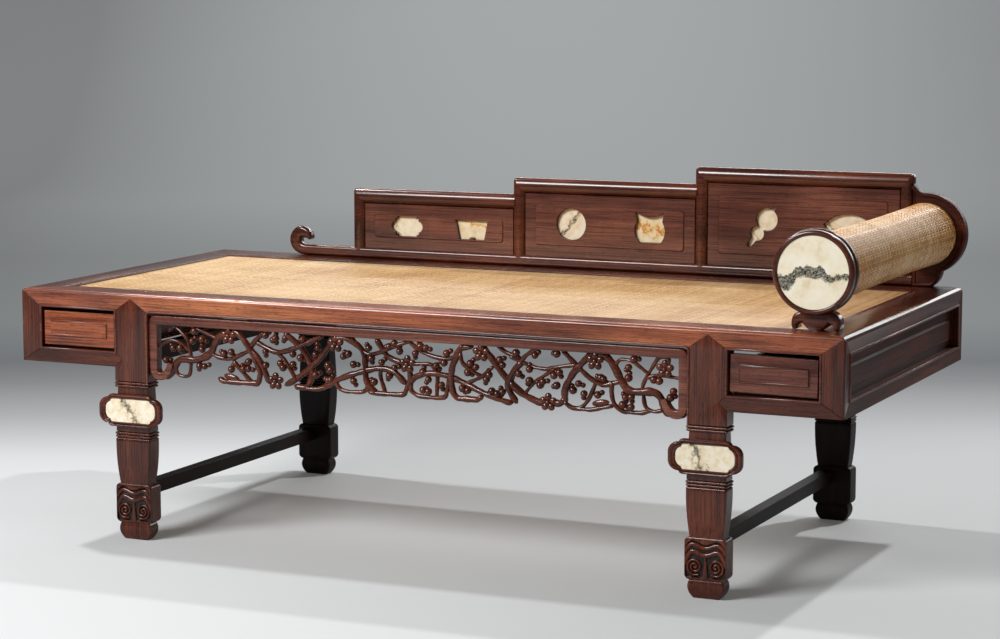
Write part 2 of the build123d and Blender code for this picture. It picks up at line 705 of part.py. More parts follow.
# Routes of the apron's branches on a grid: across from the left stile to the right, and down
ROUTE_LENGTH = 200
ROUTE_DROP = 100
BRANCHES = (
    ((-1, 103), (4, 93), (6, 77), (9, 63), (16, 61), (21, 48), (23, 29), (25, 15), (29, 13)),
    ((4, 10), (6, 2), (9, 11), (12, 26), (13, 48), (13, 68), (12, 91), (9, 94), (7, 88), (7, 74), (9, 65)),
    ((-1, 40), (1, 38), (4, 29), (8, 30), (12, 44)),
    ((14, 0), (19, 10), (24, 20)),
    ((22, 49), (25, 55), (30, 55), (33, 48), (38, 36)),
    ((29, 13), (32, 6), (37, 31), (41, 72), (41, 85), (40, 97), (36, 101), (29, 101), (25, 93)),
    ((31, 60), (34, 75), (38, 96)),
    ((38, 29), (40, 17), (43, 3)),
    ((40, 22), (45, 33), (48, 37), (52, 34), (57, 25), (66, 3)),
    ((37, 31), (42, 58), (45, 93)),
    ((52, 1), (58, 27), (62, 59), (62, 78), (61, 92), (59, 100), (56, 96)),
    ((52, 95), (56, 83), (64, 51), (68, 28), (72, 4)),
    ((48, 37), (52, 55), (56, 83)),
    ((56, 100), (62, 101), (66, 97), (70, 89)),
    ((72, 4), (76, 4), (81, 18), (83, 36), (84, 77), (88, 98)),
    ((78, 2), (80, 14), (83, 27), (86, 29), (90, 23), (94, 14), (100, 2)),
    ((66, 97), (71, 84), (76, 72), (86, 56), (91, 54), (95, 59), (99, 76)),
    ((72, 84), (74, 96), (79, 100), (83, 96), (84, 84)),
    ((88, 2), (90, 18), (92, 31), (96, 39), (100, 40)),
    ((90, 52), (89, 66), (91, 95)),
    ((84, 82), (85, 95), (88, 101), (94, 99), (98, 97), (99, 90), (100, 76)),
    ((100, 40), (101, 65), (100, 81)),
    ((100, 0), (103, 12), (107, 22), (111, 27), (115, 28), (118, 23), (119, 13), (121, 2)),
    ((124, 4), (120, 8), (119, 22), (117, 43), (117, 84), (120, 99), (125, 99), (128, 91)),
    ((101, 74), (103, 64), (108, 56), (113, 57), (118, 63), (128, 82), (139, 99)),
    ((100, 42), (108, 40), (110, 48), (111, 59), (111, 95)),
    ((101, 76), (101, 89), (104, 98), (109, 99), (114, 96), (115, 85), (116, 59)),
    ((128, 1), (132, 23), (137, 52), (143, 79)),
    ((120, 18), (121, 33), (124, 45), (128, 55)),
    ((132, 38), (128, 55), (122, 70)),
    ((134, 0), (137, 10), (142, 17)),
    ((143, 24), (140, 42), (138, 63), (139, 81), (141, 96)),
    ((149, -1), (145, 11), (142, 27), (140, 43), (139, 58)),
    ((139, 17), (143, 25), (147, 32), (152, 34), (156, 29), (163, 23)),
    ((158, 1), (161, 15), (167, 40), (170, 49), (173, 55), (176, 51), (179, 47)),
    ((159, 89), (159, 68), (161, 46), (163, 31), (168, 4), (170, 1)),
    ((139, 62), (142, 76), (146, 87), (150, 94), (153, 91), (157, 92), (159, 83)),
    ((170, 1), (173, 4), (176, 18), (180, 50), (183, 62), (190, 61), (193, 69), (196, 97), (202, 103)),
    ((177, 18), (179, 9), (183, 10), (186, 19), (189, 30)),
    ((196, 11), (196, 1), (193, 1), (191, 13), (187, 48), (187, 66), (188, 87), (191, 94), (194, 91)),
    ((189, 37), (191, 32), (195, 32), (201, 36)),
    ((170, 51), (168, 75), (166, 91), (164, 98), (161, 97), (159, 89)),
    ((159, 91), (162, 99), (167, 100), (176, 90)),
    ((176, 51), (176, 70), (177, 87), (180, 98), (185, 100), (190, 93)),
    ((155, 33), (150, 50), (147, 61), (144, 80)),
)


def branch_face():
    """Branches of the front apron: round-ended strokes along each route."""
    low_x = INNER_EDGE + APRON_STILE_WIDTH
    length = SEAT_LENGTH - 2 * low_x
    top_z = RAIL_BOTTOM - APRON_TOP_GAP - APRON_RAIL_HEIGHT
    drop = top_z - APRON_BOTTOM - APRON_BRANCH_WIDTH / 2
    strokes = []
    for route in BRANCHES:
        line = [
            Vector(low_x + length * across / ROUTE_LENGTH, top_z - drop * down / ROUTE_DROP)
            for across, down in route
        ]
        for start, end in zip(line, line[1:]):
            strokes.append(SlotCenterPoint((start + end) / 2, end, APRON_BRANCH_WIDTH))
    window = span_face((INNER_EDGE, SEAT_LENGTH - INNER_EDGE), (APRON_BOTTOM, RAIL_BOTTOM - APRON_TOP_GAP))
    return (Sketch() + strokes) & window


def build_aprons():
    """Carved front apron: a frame open below, filled with branches. Plain rear apron."""
    x = (INNER_EDGE, SEAT_LENGTH - INNER_EDGE)
    top_z = RAIL_BOTTOM - APRON_TOP_GAP
    y = (APRON_RECESS, APRON_RECESS + APRON_THICKNESS)
    outer = span_face(x, (APRON_BOTTOM, top_z))
    outer = fillet(outer.vertices().sort_by(Axis.Y)[-2:], APRON_CORNER)
    inner_x = (x[0] + APRON_STILE_WIDTH, x[1] - APRON_STILE_WIDTH)
    inner = span_face(inner_x, (APRON_BOTTOM, top_z - APRON_RAIL_HEIGHT))
    inner = fillet(inner.vertices().sort_by(Axis.Y)[-2:], APRON_INNER_CORNER)
    frame = front_plate(outer - inner, y)
    carving_back = y[1] - APRON_BRANCH_SETBACK
    carving = front_plate(branch_face(), (carving_back - APRON_BRANCH_THICKNESS, carving_back))
    pieces["apron_front"] = frame + apron_tongue() + carving
    rear = block(
        x,
        (SEAT_DEPTH - y[1], SEAT_DEPTH - y[0]),
        (RAIL_BOTTOM - REAR_APRON_HEIGHT, RAIL_BOTTOM),
    )
    pieces["apron_rear"] = rear + other_side(apron_tongue())


# ---------------------------------------------------------------- back rail
def scroll_face():
    """Base rail with the scroll at its left end, drawn in x and z."""
    low = SEAT_HEIGHT
    left = SCROLL_FROM_END
    top = low + SCROLL_HEIGHT
    inner = left + SCROLL_STROKE
    outer_round = SCROLL_OUTER_ROUND
    inner_round = SCROLL_INNER_ROUND
    crown = SCROLL_STROKE / 2
    nose = inner + SCROLL_NOSE
    diagonal = 1 - 2 ** -0.5
    return make_face(
        Line((left + outer_round, low), (BACK_RIGHT, low))
        + Line((BACK_RIGHT, low), (BACK_RIGHT, BACK_BASE_TOP))
        + Line((BACK_RIGHT, BACK_BASE_TOP), (inner + inner_round, BACK_BASE_TOP))
        + ThreePointArc(
            (inner + inner_round, BACK_BASE_TOP),
            (inner + inner_round * diagonal, BACK_BASE_TOP + inner_round * diagonal),
            (inner, BACK_BASE_TOP + inner_round),
        )
        + Line((inner, BACK_BASE_TOP + inner_round), (inner, top - SCROLL_BROW))
        + Line((inner, top - SCROLL_BROW), (nose - SCROLL_TIP, top - SCROLL_DROP))
        + ThreePointArc(
            (nose - SCROLL_TIP, top - SCROLL_DROP),
            (nose - SCROLL_TIP * diagonal, top - SCROLL_BROW + SCROLL_TIP * diagonal),
            (nose - SCROLL_BROW, top),
        )
        + Line((nose - SCROLL_BROW, top), (left + crown, top))
        + ThreePointArc(
            (left + crown, top),
            (left + crown * diagonal, top - crown * diagonal),
            (left, top - crown),
        )
        + Line((left, top - crown), (left, low + outer_round))
        + ThreePointArc(
            (left, low + outer_round),
            (left + outer_round * diagonal, low + outer_round * diagonal),
            (left + outer_round, low),
        )
    )


def step_posts():
    """The four posts: left edge, top and whether a rail starts (1) or ends (-1) in their mitre."""
    return (
        ("back_post_first", LOW_POST, LOW_TOP, 1),
        ("back_post_second", MIDDLE_POST, MIDDLE_TOP, 1),
        ("back_post_third", HIGH_POST, HIGH_TOP, 1),
        ("back_post_fourth", LAST_POST, HIGH_TOP, -1),
    )


def round_fronted(face, along):
    """The face with the two corners on its front side rounded, front being low in y."""
    return fillet(face.vertices().sort_by(along)[:2], BACK_ROUND)


def back_rail(x, z, shape):
    """Rail of the back frame between two x, round at its front edges and cut to a mitred shape."""
    y = (BACK_FRONT, BACK_FRONT + BACK_THICKNESS)
    return side_plate(round_fronted(span_face(y, z), Axis.X), x) & front_plate(shape, y)


def back_post(x, z, shape):
    """Post of the back frame between two z, round at its front edges and cut to a mitred shape."""
    y = (BACK_FRONT, BACK_FRONT + BACK_THICKNESS)
    return plan_plate(round_fronted(span_face(x, y), Axis.Y), z) & front_plate(shape, y)


def build_base_rail(pins):
    """Base rail with its scroll, notched for the pins."""
    y = (BACK_FRONT, BACK_FRONT + BACK_THICKNESS)
    profile = span_face(y, (SEAT_HEIGHT, BACK_BASE_TOP))
    front_top = profile.vertices().sort_by(Axis.X)[:2].sort_by(Axis.Y)[-1]
    straight = side_plate(fillet(front_top, BACK_ROUND), (LOW_POST, BACK_RIGHT))
    left_part = block((0, LOW_POST), y, (SEAT_HEIGHT, SEAT_HEIGHT + SCROLL_HEIGHT))
    scroll = front_plate(scroll_face(), y) & left_part
    pieces["back_base_rail"] = (scroll + straight) - pins
    pieces["back_pins"] = group(*pins)


def build_back():
    """Posts, stepped top rails, panels and marbles of the back rail."""
    posts = step_posts()
    for name, left, top, hand in posts:
        right = left + BACK_POST_WIDTH
        mitre = (top, top - BACK_RAIL_HEIGHT) if hand > 0 else (top - BACK_RAIL_HEIGHT, top)
        shape = outline((left, BACK_BASE_TOP), (right, BACK_BASE_TOP), (right, mitre[1]), (left, mitre[0]))
        pieces[name] = back_post((left, right), (BACK_BASE_TOP, top), shape)

    for number, name in enumerate(("low", "middle", "high")):
        left = posts[number][1]
        top = posts[number][2]
        right = posts[number + 1][1]
        far_top = right + BACK_POST_WIDTH if posts[number + 1][2] == top else right
        under = top - BACK_RAIL_HEIGHT
        inner_left = left + BACK_POST_WIDTH
        shape = outline((inner_left, under), (right, under), (far_top, top), (left, top))
        pieces["back_rail_" + name] = back_rail((left, far_top), (under, top), shape)
        build_back_panel(name, inner_left, right, under)


def inset_shapes(name):
    """The two marble shapes of a panel: share of its width, height over the base rail, and outline."""
    shapes = {
        "low": [(CARTOUCHE_SHARE, CARTOUCHE_Z, cartouche), (TRAPEZIUM_SHARE, TRAPEZIUM_Z, trapezium)],
        "middle": [(ROUND_SHARE, ROUND_Z, roundel), (VASE_SHARE, VASE_Z, vase)],
        "high": [(GOURD_SHARE, GOURD_Z, gourd), (FAN_SHARE, FAN_Z, fan)],
    }
    return shapes[name]


def shrunk(face, play):
    """The face moved in all round by its play."""
    return offset(face, -play) if play > 0 else face


def cartouche(play):
    """Oblong with stepped corners and a round lobe at each end."""
    body = Rectangle(CARTOUCHE_BODY, CARTOUCHE_HEIGHT)
    body += Rectangle(CARTOUCHE_BODY + 2 * CARTOUCHE_STEP, CARTOUCHE_HEIGHT - 2 * CARTOUCHE_STEP)
    for hand in (-1, 1):
        body += Pos(hand * (CARTOUCHE_WIDTH / 2 - CARTOUCHE_LOBE), 0) * Circle(CARTOUCHE_LOBE)
    return shrunk(body, play)


def trapezium(play):
    """Pot shape: wide at the top, with a small notch in the middle of its foot."""
    top = TRAPEZIUM_TOP / 2
    foot = TRAPEZIUM_FOOT / 2
    half = TRAPEZIUM_HEIGHT / 2
    notch = TRAPEZIUM_NOTCH
    body = outline((-foot, -half), (foot, -half), (top, half), (-top, half))
    body -= span_face((-notch, notch), (-half, notch - half))
    return shrunk(body, play)


def roundel(play):
    """Plain round."""
    return Circle(ROUND_RADIUS - play)


def vase(play):
    """Vase with a dished mouth, pointed lips, a slight neck, a wide belly and a small foot."""
    half = VASE_HEIGHT / 2
    lip = VASE_LIP / 2
    neck = VASE_NECK / 2
    belly = VASE_BELLY / 2
    foot = VASE_FOOT / 2
    neck_z = half - VASE_NECK_DROP
    belly_z = -half + VASE_BELLY_RISE
    body = make_face(
        Line((-foot, -half), (foot, -half))
        + ThreePointArc((foot, -half), (belly, belly_z), (neck, neck_z))
        + Line((neck, neck_z), (lip, half))
        + ThreePointArc((lip, half), (0, half - VASE_DISH), (-lip, half))
        + Line((-lip, half), (-neck, neck_z))
        + ThreePointArc((-neck, neck_z), (-belly, belly_z), (-foot, -half))
    )
    return shrunk(body, play)


def gourd(play):
    """Double gourd leaning to the right, with a pointed tip and a curling stalk."""
    spike_foot = GOURD_UPPER - GOURD_TIP_WIDTH / 2
    spike_half = GOURD_TIP_WIDTH / 2 - play
    spike_end = GOURD_UPPER + GOURD_TIP - 2 * play
    body = Circle(GOURD_UPPER - play)
    body += outline((spike_foot, -spike_half), (spike_end, 0), (spike_foot, spike_half))
    body += Pos(-GOURD_SPACING, 0) * Circle(GOURD_LOWER - play)
    stalk = Ellipse(GOURD_STALK - play, GOURD_STALK_WIDTH / 2 - play)
    body += Pos(-GOURD_SPACING - GOURD_LOWER, 0) * stalk
    return Rot(0, 0, GOURD_LEAN) * body


def fan(play):
    """Open fan: an arched top between two pointed ends, narrowing to its foot."""
    half = FAN_WIDTH / 2
    body = make_face(
        ThreePointArc((-half, 0), (0, FAN_ARCH), (half, 0))
        + ThreePointArc((half, 0), (FAN_WAIST, -FAN_DROP / 2), (FAN_FOOT, -FAN_DROP))
        + Line((FAN_FOOT, -FAN_DROP), (-FAN_FOOT, -FAN_DROP))
        + ThreePointArc((-FAN_FOOT, -FAN_DROP), (-FAN_WAIST, -FAN_DROP / 2), (-half, 0))
    )
    return shrunk(body, play)


def build_back_panel(name, left, right, top):
    """One panel with its raised field and the pockets and marbles of its insets."""
    face_y = BACK_FRONT + BACK_PANEL_RECESS
    panel = block((left, right), (face_y, face_y + BACK_PANEL_THICKNESS), (BACK_BASE_TOP, top))
    middle = ((left + right) / 2, face_y, (BACK_BASE_TOP + top) / 2)
    field_plane = Plane(origin=middle, x_dir=(1, 0, 0), z_dir=(0, -1, 0))
    panel += raised_field(
        field_plane,
        right - left - 2 * BACK_FIELD_MARGIN,
        top - BACK_BASE_TOP - 2 * BACK_FIELD_MARGIN,
        BACK_FIELD_RISE,
        FIELD_CORNER,
    )
    pocket_back = face_y + INSET_DEPTH
    marbles = []
    for share, height, shape in inset_shapes(name):
        place = Pos(left + share * (right - left), BACK_BASE_TOP + height)
        panel -= front_plate(place * shape(0), (face_y - BACK_FIELD_RISE, pocket_back))
        stone = place * shape(MARBLE_PLAY)
        marbles.append(front_plate(stone, (pocket_back - MARBLE_THICKNESS, pocket_back)))
    pieces["back_panel_" + name] = panel
    pieces["inset_marbles_" + name] = group(*marbles)


# ---------------------------------------------------------------- bolster
def tube_side(inset):
    """Waisted side line of the cane tube, drawn as y and radius, moved inwards by an inset."""
    return ThreePointArc(
        (TUBE_START, TUBE_FRONT_RADIUS - inset),
        ((TUBE_START + BACK_FRONT) / 2, TUBE_WAIST_RADIUS - inset),
        (BACK_FRONT, TUBE_REAR_RADIUS - inset),
    )


def wing():
    """Round-ended side board right of the last post, with a cusp at its top."""
    left = BACK_RIGHT
    cusp = (left, SEAT_HEIGHT + WING_CUSP_RISE)
    disc = Pos(BOLSTER_X, BOLSTER_Z) * Circle(WING_RADIUS)
    shoulder = (BOLSTER_X + WING_SHOULDER, BOLSTER_Z + (WING_RADIUS**2 - WING_SHOULDER**2) ** 0.5)
    bend = ((cusp[0] * 2 + shoulder[0]) / 3, (cusp[1] + shoulder[1] * 3) / 4)
    top = make_face(
        Line((left, BOLSTER_Z), shoulder)
        + ThreePointArc(shoulder, bend, cusp)
        + Line(cusp, (left, BOLSTER_Z))
    )
    foot_right = left + WING_FOOT_WIDTH
    waist = (foot_right + WING_WAIST, (SEAT_HEIGHT + BOLSTER_Z - WING_RADIUS) / 2)
    ankle = (BOLSTER_X + WING_ANKLE, BOLSTER_Z - (WING_RADIUS**2 - WING_ANKLE**2) ** 0.5)
    foot = make_face(
        Line((left, SEAT_HEIGHT), (foot_right, SEAT_HEIGHT))
        + ThreePointArc((foot_right, SEAT_HEIGHT), waist, ankle)
        + Line(ankle, (left, BOLSTER_Z))
        + Line((left, BOLSTER_Z), (left, SEAT_HEIGHT))
    )
    right_side = span_face(
        (left, BOLSTER_X + 2 * WING_RADIUS), (SEAT_HEIGHT, BOLSTER_Z + 2 * WING_RADIUS)
    )
    return (disc + top + foot) & right_side


def cradle():
    """Cloud-shaped foot: shoulders that fall to two narrow end feet, and a wide lobe between."""
    low = SEAT_HEIGHT
    half = CRADLE_WIDTH / 2
    top = low + CRADLE_HEIGHT
    shoulder = (half, top - CRADLE_SHOULDER)
    toe_out = half - CRADLE_TOE / 2
    toe_in = toe_out - CRADLE_TOE
    lobe = CRADLE_LOBE_WIDTH / 2
    spring = low + CRADLE_ARCH_HEIGHT / 2
    arch_out = toe_in - CRADLE_TOE / 2
    arch_in = arch_out - CRADLE_ARCH_WIDTH
    bulge = 2 ** -0.5
    right = make_face(
        Line((0, low), (lobe, low))
        + ThreePointArc(
            (lobe, low), ((lobe + arch_in) / 2, low + CRADLE_ARCH_HEIGHT / 8), (arch_in, spring)
        )
        + ThreePointArc(
            (arch_in, spring), ((arch_in + arch_out) / 2, low + CRADLE_ARCH_HEIGHT), (arch_out, spring)
        )
        + Line((arch_out, spring), (toe_in, low))
        + Line((toe_in, low), (toe_out, low))
        + Line((toe_out, low), shoulder)
        + ThreePointArc(
            shoulder,
            (half - CRADLE_SHOULDER * (1 - bulge), shoulder[1] + CRADLE_SHOULDER * bulge),
            (half - CRADLE_SHOULDER, top),
        )
        + Line((half - CRADLE_SHOULDER, top), (0, top))
        + Line((0, top), (0, low))
    )
    return Pos(BOLSTER_X, 0) * (right + mirror(right, about=Plane.YZ))


def build_bolster():
    """Front ring, marble disc, cane tube, inner frame, side board and foot."""
    back_y = (BACK_FRONT, BACK_FRONT + BACK_THICKNESS)
    front = BOLSTER_FRONT
    disc_front = front + DISC_RECESS
    disc_back = disc_front + DISC_THICKNESS
    roll_end = front + RING_ROLL_DEPTH
    roll = span_face((front, roll_end), (DISC_RADIUS, RING_ROLL_RADIUS))
    roll = fillet(roll.vertices().sort_by(Axis.Y)[-2:], RING_ROLL_ROUND)
    bead = span_face((roll_end, TUBE_START), (DISC_RADIUS, RING_BEAD_RADIUS))
    bead = fillet(bead.vertices().sort_by(Axis.Y)[-2:], RING_ROLL_ROUND)
    web = span_face((disc_back, TUBE_START), (RING_WEB_RADIUS, RING_ROLL_RADIUS - RING_GROOVE))
    pieces["bolster_ring"] = turned(roll + bead + web)
    pieces["bolster_marble"] = turned(span_face((disc_front, disc_back), (0, DISC_RADIUS - BOLSTER_PLAY)))

    shell = make_face(
        tube_side(0)
        + Line((BACK_FRONT, TUBE_REAR_RADIUS), (BACK_FRONT, TUBE_REAR_RADIUS - TUBE_WALL))
        + tube_side(TUBE_WALL)
        + Line((TUBE_START, TUBE_FRONT_RADIUS - TUBE_WALL), (TUBE_START, TUBE_FRONT_RADIUS))
    )
    pieces["bolster_cane"] = turned(shell)

    inset = TUBE_WALL + BOLSTER_PLAY
    hollow = turned(
        make_face(
            tube_side(inset)
            + Line((BACK_FRONT, TUBE_REAR_RADIUS - inset), (BACK_FRONT, 0))
            + Line((BACK_FRONT, 0), (TUBE_START, 0))
            + Line((TUBE_START, 0), (TUBE_START, TUBE_FRONT_RADIUS - inset))
        )
    )
    frame = turned(span_face((TUBE_START, BACK_FRONT), (0, SPINDLE_RADIUS)))
    pitch = (BACK_FRONT - TUBE_START - HOOP_THICKNESS) / (HOOP_COUNT - 1)
    for index in range(HOOP_COUNT):
        start = TUBE_START + index * pitch
        frame += turned(span_face((start, start + HOOP_THICKNESS), (0, TUBE_FRONT_RADIUS))) & hollow
    pieces["bolster_frame"] = frame

    pieces["wing_board"] = front_plate(wing(), back_y)
    cradle_start = front + CRADLE_FROM_FRONT
    cradle_y = (cradle_start, cradle_start + CRADLE_THICKNESS)
    seat_round = turned(span_face(cradle_y, (0, RING_BEAD_RADIUS + BOLSTER_PLAY)))
    pieces["bolster_foot"] = front_plate(cradle(), cradle_y) - seat_round


# ---------------------------------------------------------------- assembly
def build_daybed():
    """All pieces, then the move that puts the origin under the middle of the daybed."""
    envelope = case_envelope()
    leg = leg_blank()
    pins = back_pins()
    post, leg = build_end_boxes(envelope, leg)
    build_seat(envelope, post, leg, pins)
    build_drawers()
    build_plaques()
    build_stretchers()
    build_aprons()
    build_base_rail(pins)
    build_back()
    build_bolster()

    right = max(SEAT_LENGTH, BOLSTER_X + WING_RADIUS)
    rear = SEAT_DEPTH + max(BLOCK_PROUD, RING_PROUD)
    origin = Pos(-right / 2, (PLAQUE_THICKNESS - rear) / 2, 0)
    os.makedirs("parts", exist_ok=True)
    for name, piece in pieces.items():
        export_step(origin * piece, "parts/" + name + ".step")


build_daybed()
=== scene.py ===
"""Luohan daybed in dark rosewood: a cane seat on two end boxes with drawers, plank legs, an
openwork apron, a stepped back rail with marble insets, and a cane bolster.

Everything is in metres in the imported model's frame. The CAD nodes give the main sizes and the
places. A piece is drawn in mm from HOME, then times MM plus HOME.
"""

import math

import bmesh
import bpy
import numpy as np
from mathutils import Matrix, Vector
from mathutils.geometry import tessellate_polygon


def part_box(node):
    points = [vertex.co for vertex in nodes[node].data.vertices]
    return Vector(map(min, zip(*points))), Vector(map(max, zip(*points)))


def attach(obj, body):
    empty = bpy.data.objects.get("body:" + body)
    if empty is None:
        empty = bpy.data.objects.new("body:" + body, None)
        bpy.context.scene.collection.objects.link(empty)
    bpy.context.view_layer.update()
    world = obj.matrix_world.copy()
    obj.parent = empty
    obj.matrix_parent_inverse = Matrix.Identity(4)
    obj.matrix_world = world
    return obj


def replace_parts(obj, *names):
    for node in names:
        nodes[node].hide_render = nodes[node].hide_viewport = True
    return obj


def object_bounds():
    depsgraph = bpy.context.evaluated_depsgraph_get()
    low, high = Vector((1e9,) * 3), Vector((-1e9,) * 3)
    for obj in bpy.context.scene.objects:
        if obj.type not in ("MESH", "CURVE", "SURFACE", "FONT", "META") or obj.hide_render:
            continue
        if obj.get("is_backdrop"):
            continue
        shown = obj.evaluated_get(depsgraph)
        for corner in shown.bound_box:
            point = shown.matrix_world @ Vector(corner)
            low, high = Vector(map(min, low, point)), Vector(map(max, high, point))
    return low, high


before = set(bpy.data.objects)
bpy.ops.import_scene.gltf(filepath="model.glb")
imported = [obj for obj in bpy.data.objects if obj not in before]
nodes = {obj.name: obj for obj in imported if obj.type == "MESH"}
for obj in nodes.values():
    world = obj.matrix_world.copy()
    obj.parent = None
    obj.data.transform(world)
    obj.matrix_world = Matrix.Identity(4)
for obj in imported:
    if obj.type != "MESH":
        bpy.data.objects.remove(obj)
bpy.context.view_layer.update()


# ------------------------------------------------------------------ the studio
# A seamless paper sweep: pale on the floor, cooler and darker where it rises behind the daybed.
# Two small lamps high up at the sides throw the shadows. Two strips behind it put the gloss on
# its edges, and a soft box stands in front.
def linear(colour):
    """sRGB hex to linear red, green, blue and alpha."""
    channels = [int(colour[i : i + 2], 16) / 255 for i in (1, 3, 5)]
    return [c / 12.92 if c <= 0.04045 else ((c + 0.055) / 1.055) ** 2.4 for c in channels] + [1]


def wire(material, node, inputs):
    """Gives a node's inputs, in order or by key, a constant each, or a link from a socket or from
    the first output of a node."""
    for key, value in inputs.items() if isinstance(inputs, dict) else enumerate(inputs):
        if isinstance(value, bpy.types.Node):
            value = value.outputs[0]
        if isinstance(value, bpy.types.NodeSocket):
            material.node_tree.links.new(value, node.inputs[key])
        else:
            node.inputs[key].default_value = value


def add(material, kind, inputs=(), stops=(), **settings):
    """Adds a shader node and wires its inputs. settings are its properties, and stops a colour
    ramp's (place, colour) pairs."""
    node = material.node_tree.nodes.new("ShaderNode" + kind)
    for key, value in settings.items():
        setattr(node, key, value)
    wire(material, node, inputs)
    if stops:
        marks = node.color_ramp.elements
        while len(marks) < len(stops):
            marks.new(1)
        for mark, (place, colour) in zip(marks, stops):
            mark.position = place
            mark.color = linear(colour)
    return node


def new_material(name, **constants):
    """A material with one Principled shader, its constant sockets set, and no other node."""
    material = bpy.data.materials.new(name)
    material.use_nodes = True
    shader = material.node_tree.nodes["Principled BSDF"]
    for key, value in constants.items():
        shader.inputs[key.replace("_", " ")].default_value = value
    return material, shader


def sheet_mesh(name, grid):
    """Mesh of an open grid of points, an array (rows, columns, 3)."""
    rows, columns = grid.shape[:2]
    index = np.arange(rows * columns).reshape(rows, columns)
    corners = (index[:-1, :-1], index[:-1, 1:], index[1:, 1:], index[1:, :-1])
    faces = np.stack([c.ravel() for c in corners], axis=1).tolist()
    mesh = bpy.data.meshes.new(name)
    mesh.from_pydata(grid.reshape(-1, 3).tolist(), [], faces)
    return mesh


def put(mesh, material, body="bed", crease=38):
    """An object named as its mesh, with its material, riding on a body. It is shaded smooth but for
    edges sharper than the crease, in degrees."""
    obj = bpy.data.objects.new(mesh.name, mesh)
    bpy.context.scene.collection.objects.link(obj)
    mesh.materials.clear()
    mesh.materials.append(material)
    mesh.polygons.foreach_set("use_smooth", [True] * len(mesh.polygons))
    mesh.set_sharp_from_angle(angle=math.radians(crease))
    if body:
        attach(obj, body)
    return obj


SWEEP_FRONT = -5.5
SWEEP_TURN = 7.0
SWEEP_RADIUS = 3.5
SWEEP_HEIGHT = 6.0
SWEEP_HALF = 12.0
# Places on the paper run from PAPER_START to PAPER_END, in m along AWAY, as 0 to 1
AWAY = (-0.415, 0.91, 0.3)
PAPER_START = -2.0
PAPER_END = 14.0
PAPER_NEAR = [(0.0, "#d2d4d4"), (0.12, "#cfd1d2"), (0.18, "#bfc1c2"), (0.22, "#9fa1a3"), (0.3, "#838587")]
PAPER_FAR = [
    (0.16, "#d3d5d6"), (0.21, "#acadaf"), (0.255, "#8b8d8f"), (0.275, "#7b7e80"), (0.33, "#8b8e8f"),
    (0.45, "#8c8f90"), (0.6, "#9da0a1"), (0.8, "#a2a5a6"), (1.0, "#999c9d"),
]
# share of a painted glow in the paper's own shade that the camera sees whatever the light: on
# the near paper it lifts the shadows, and it rises to all of it between the two places along AWAY
PAPER_FILL = 0.08
FILL_FROM = 0.8
FILL_TO = 2.0
# share of a painted reflection in what the polished wood mirrors of the paper: a flat dark grey
PAPER_DIM = 0.35
# the far paper's painted glow is brightest in the middle of the view and falls off along ASIDE,
# a painted pool of light
ASIDE = (0.325, 0.148, 0)
POOL_MIDDLE = 0.14
POOL_FALL = -0.41
POOL_BRIGHT = 1.05
POOL_LEAST = 0.6

turn = np.linspace(0, math.pi / 2, 25)
profile_y = [SWEEP_FRONT, *(SWEEP_TURN + SWEEP_RADIUS * np.sin(turn)), SWEEP_TURN + SWEEP_RADIUS]
profile_z = [0, *(SWEEP_RADIUS * (1 - np.cos(turn))), SWEEP_HEIGHT]
sweep = np.zeros((len(profile_y), 2, 3))
sweep[:, :, 0] = (SWEEP_HALF, -SWEEP_HALF)
sweep[:, :, 1] = np.array(profile_y)[:, None]
sweep[:, :, 2] = np.array(profile_z)[:, None]

# Matt studio paper, pale where the lamps reach it. Farther off it is out of their light: there
# the camera sees a painted glow at its own grey, which keeps the ground plain behind the daybed.
paper, shader = new_material("studio_paper", Roughness=0.9, Specular_IOR_Level=0.1)
place = add(paper, "TexCoord").outputs["Object"]
depth = add(paper, "VectorMath", (place, AWAY), operation="DOT_PRODUCT").outputs["Value"]
aside = add(paper, "VectorMath", (place, ASIDE), operation="DOT_PRODUCT").outputs["Value"]
reach = add(paper, "MapRange", (depth, PAPER_START, PAPER_END, 0.0, 1.0))
near_tint = add(paper, "ValToRGB", (reach,), PAPER_NEAR)
far_tint = add(paper, "ValToRGB", (reach,), PAPER_FAR)
far = add(paper, "MapRange", (depth, FILL_FROM, FILL_TO, PAPER_FILL, 1.0))
off_middle = add(paper, "Math", (aside, POOL_MIDDLE), operation="SUBTRACT")
falling = add(paper, "Math", (off_middle, off_middle), operation="MULTIPLY")
fading = add(paper, "Math", (falling, POOL_FALL, POOL_BRIGHT), operation="MULTIPLY_ADD")
pool = add(paper, "Math", (fading, POOL_LEAST), operation="MAXIMUM")
ray = add(paper, "LightPath").outputs
straight = add(paper, "Math", (ray["Is Camera Ray"], ray["Is Glossy Ray"]), operation="ADD")
seen = add(paper, "Math", (far, straight), operation="MULTIPLY")
glow = add(paper, "Emission", {"Color": far_tint, "Strength": pool})
mixed = add(paper, "MixShader", (seen, shader, glow))
# polished wood sees the paper partly as a flat dark grey: a painted reflection
dim = add(paper, "Math", (ray["Is Glossy Ray"], PAPER_DIM), operation="MULTIPLY")
painted_room_reflection = add(paper, "Emission", {"Color": linear("#1b1c1d"), "Strength": 1.0})
whole = add(paper, "MixShader", (dim, mixed, painted_room_reflection))
wire(paper, shader, {"Base Color": near_tint})
wire(paper, paper.node_tree.nodes["Material Output"], {"Surface": whole})
put(sheet_mesh("paper_sweep", sweep), paper, body=None)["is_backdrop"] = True

# The camera stands off the front right, a little above the back rail
CAMERA_AT = (2.3374, -5.0949, 1.2095)
CAMERA_LENS = 96.24
CAMERA_DOWN = 0.1343
CAMERA_LEFT = 0.4278
camera = bpy.data.objects.new("camera", bpy.data.cameras.new("camera"))
bpy.context.scene.collection.objects.link(camera)
camera.data.sensor_width = 36
camera.data.lens = CAMERA_LENS
camera.location = CAMERA_AT
camera.rotation_euler = (math.pi / 2 - CAMERA_DOWN, 0, CAMERA_LEFT)
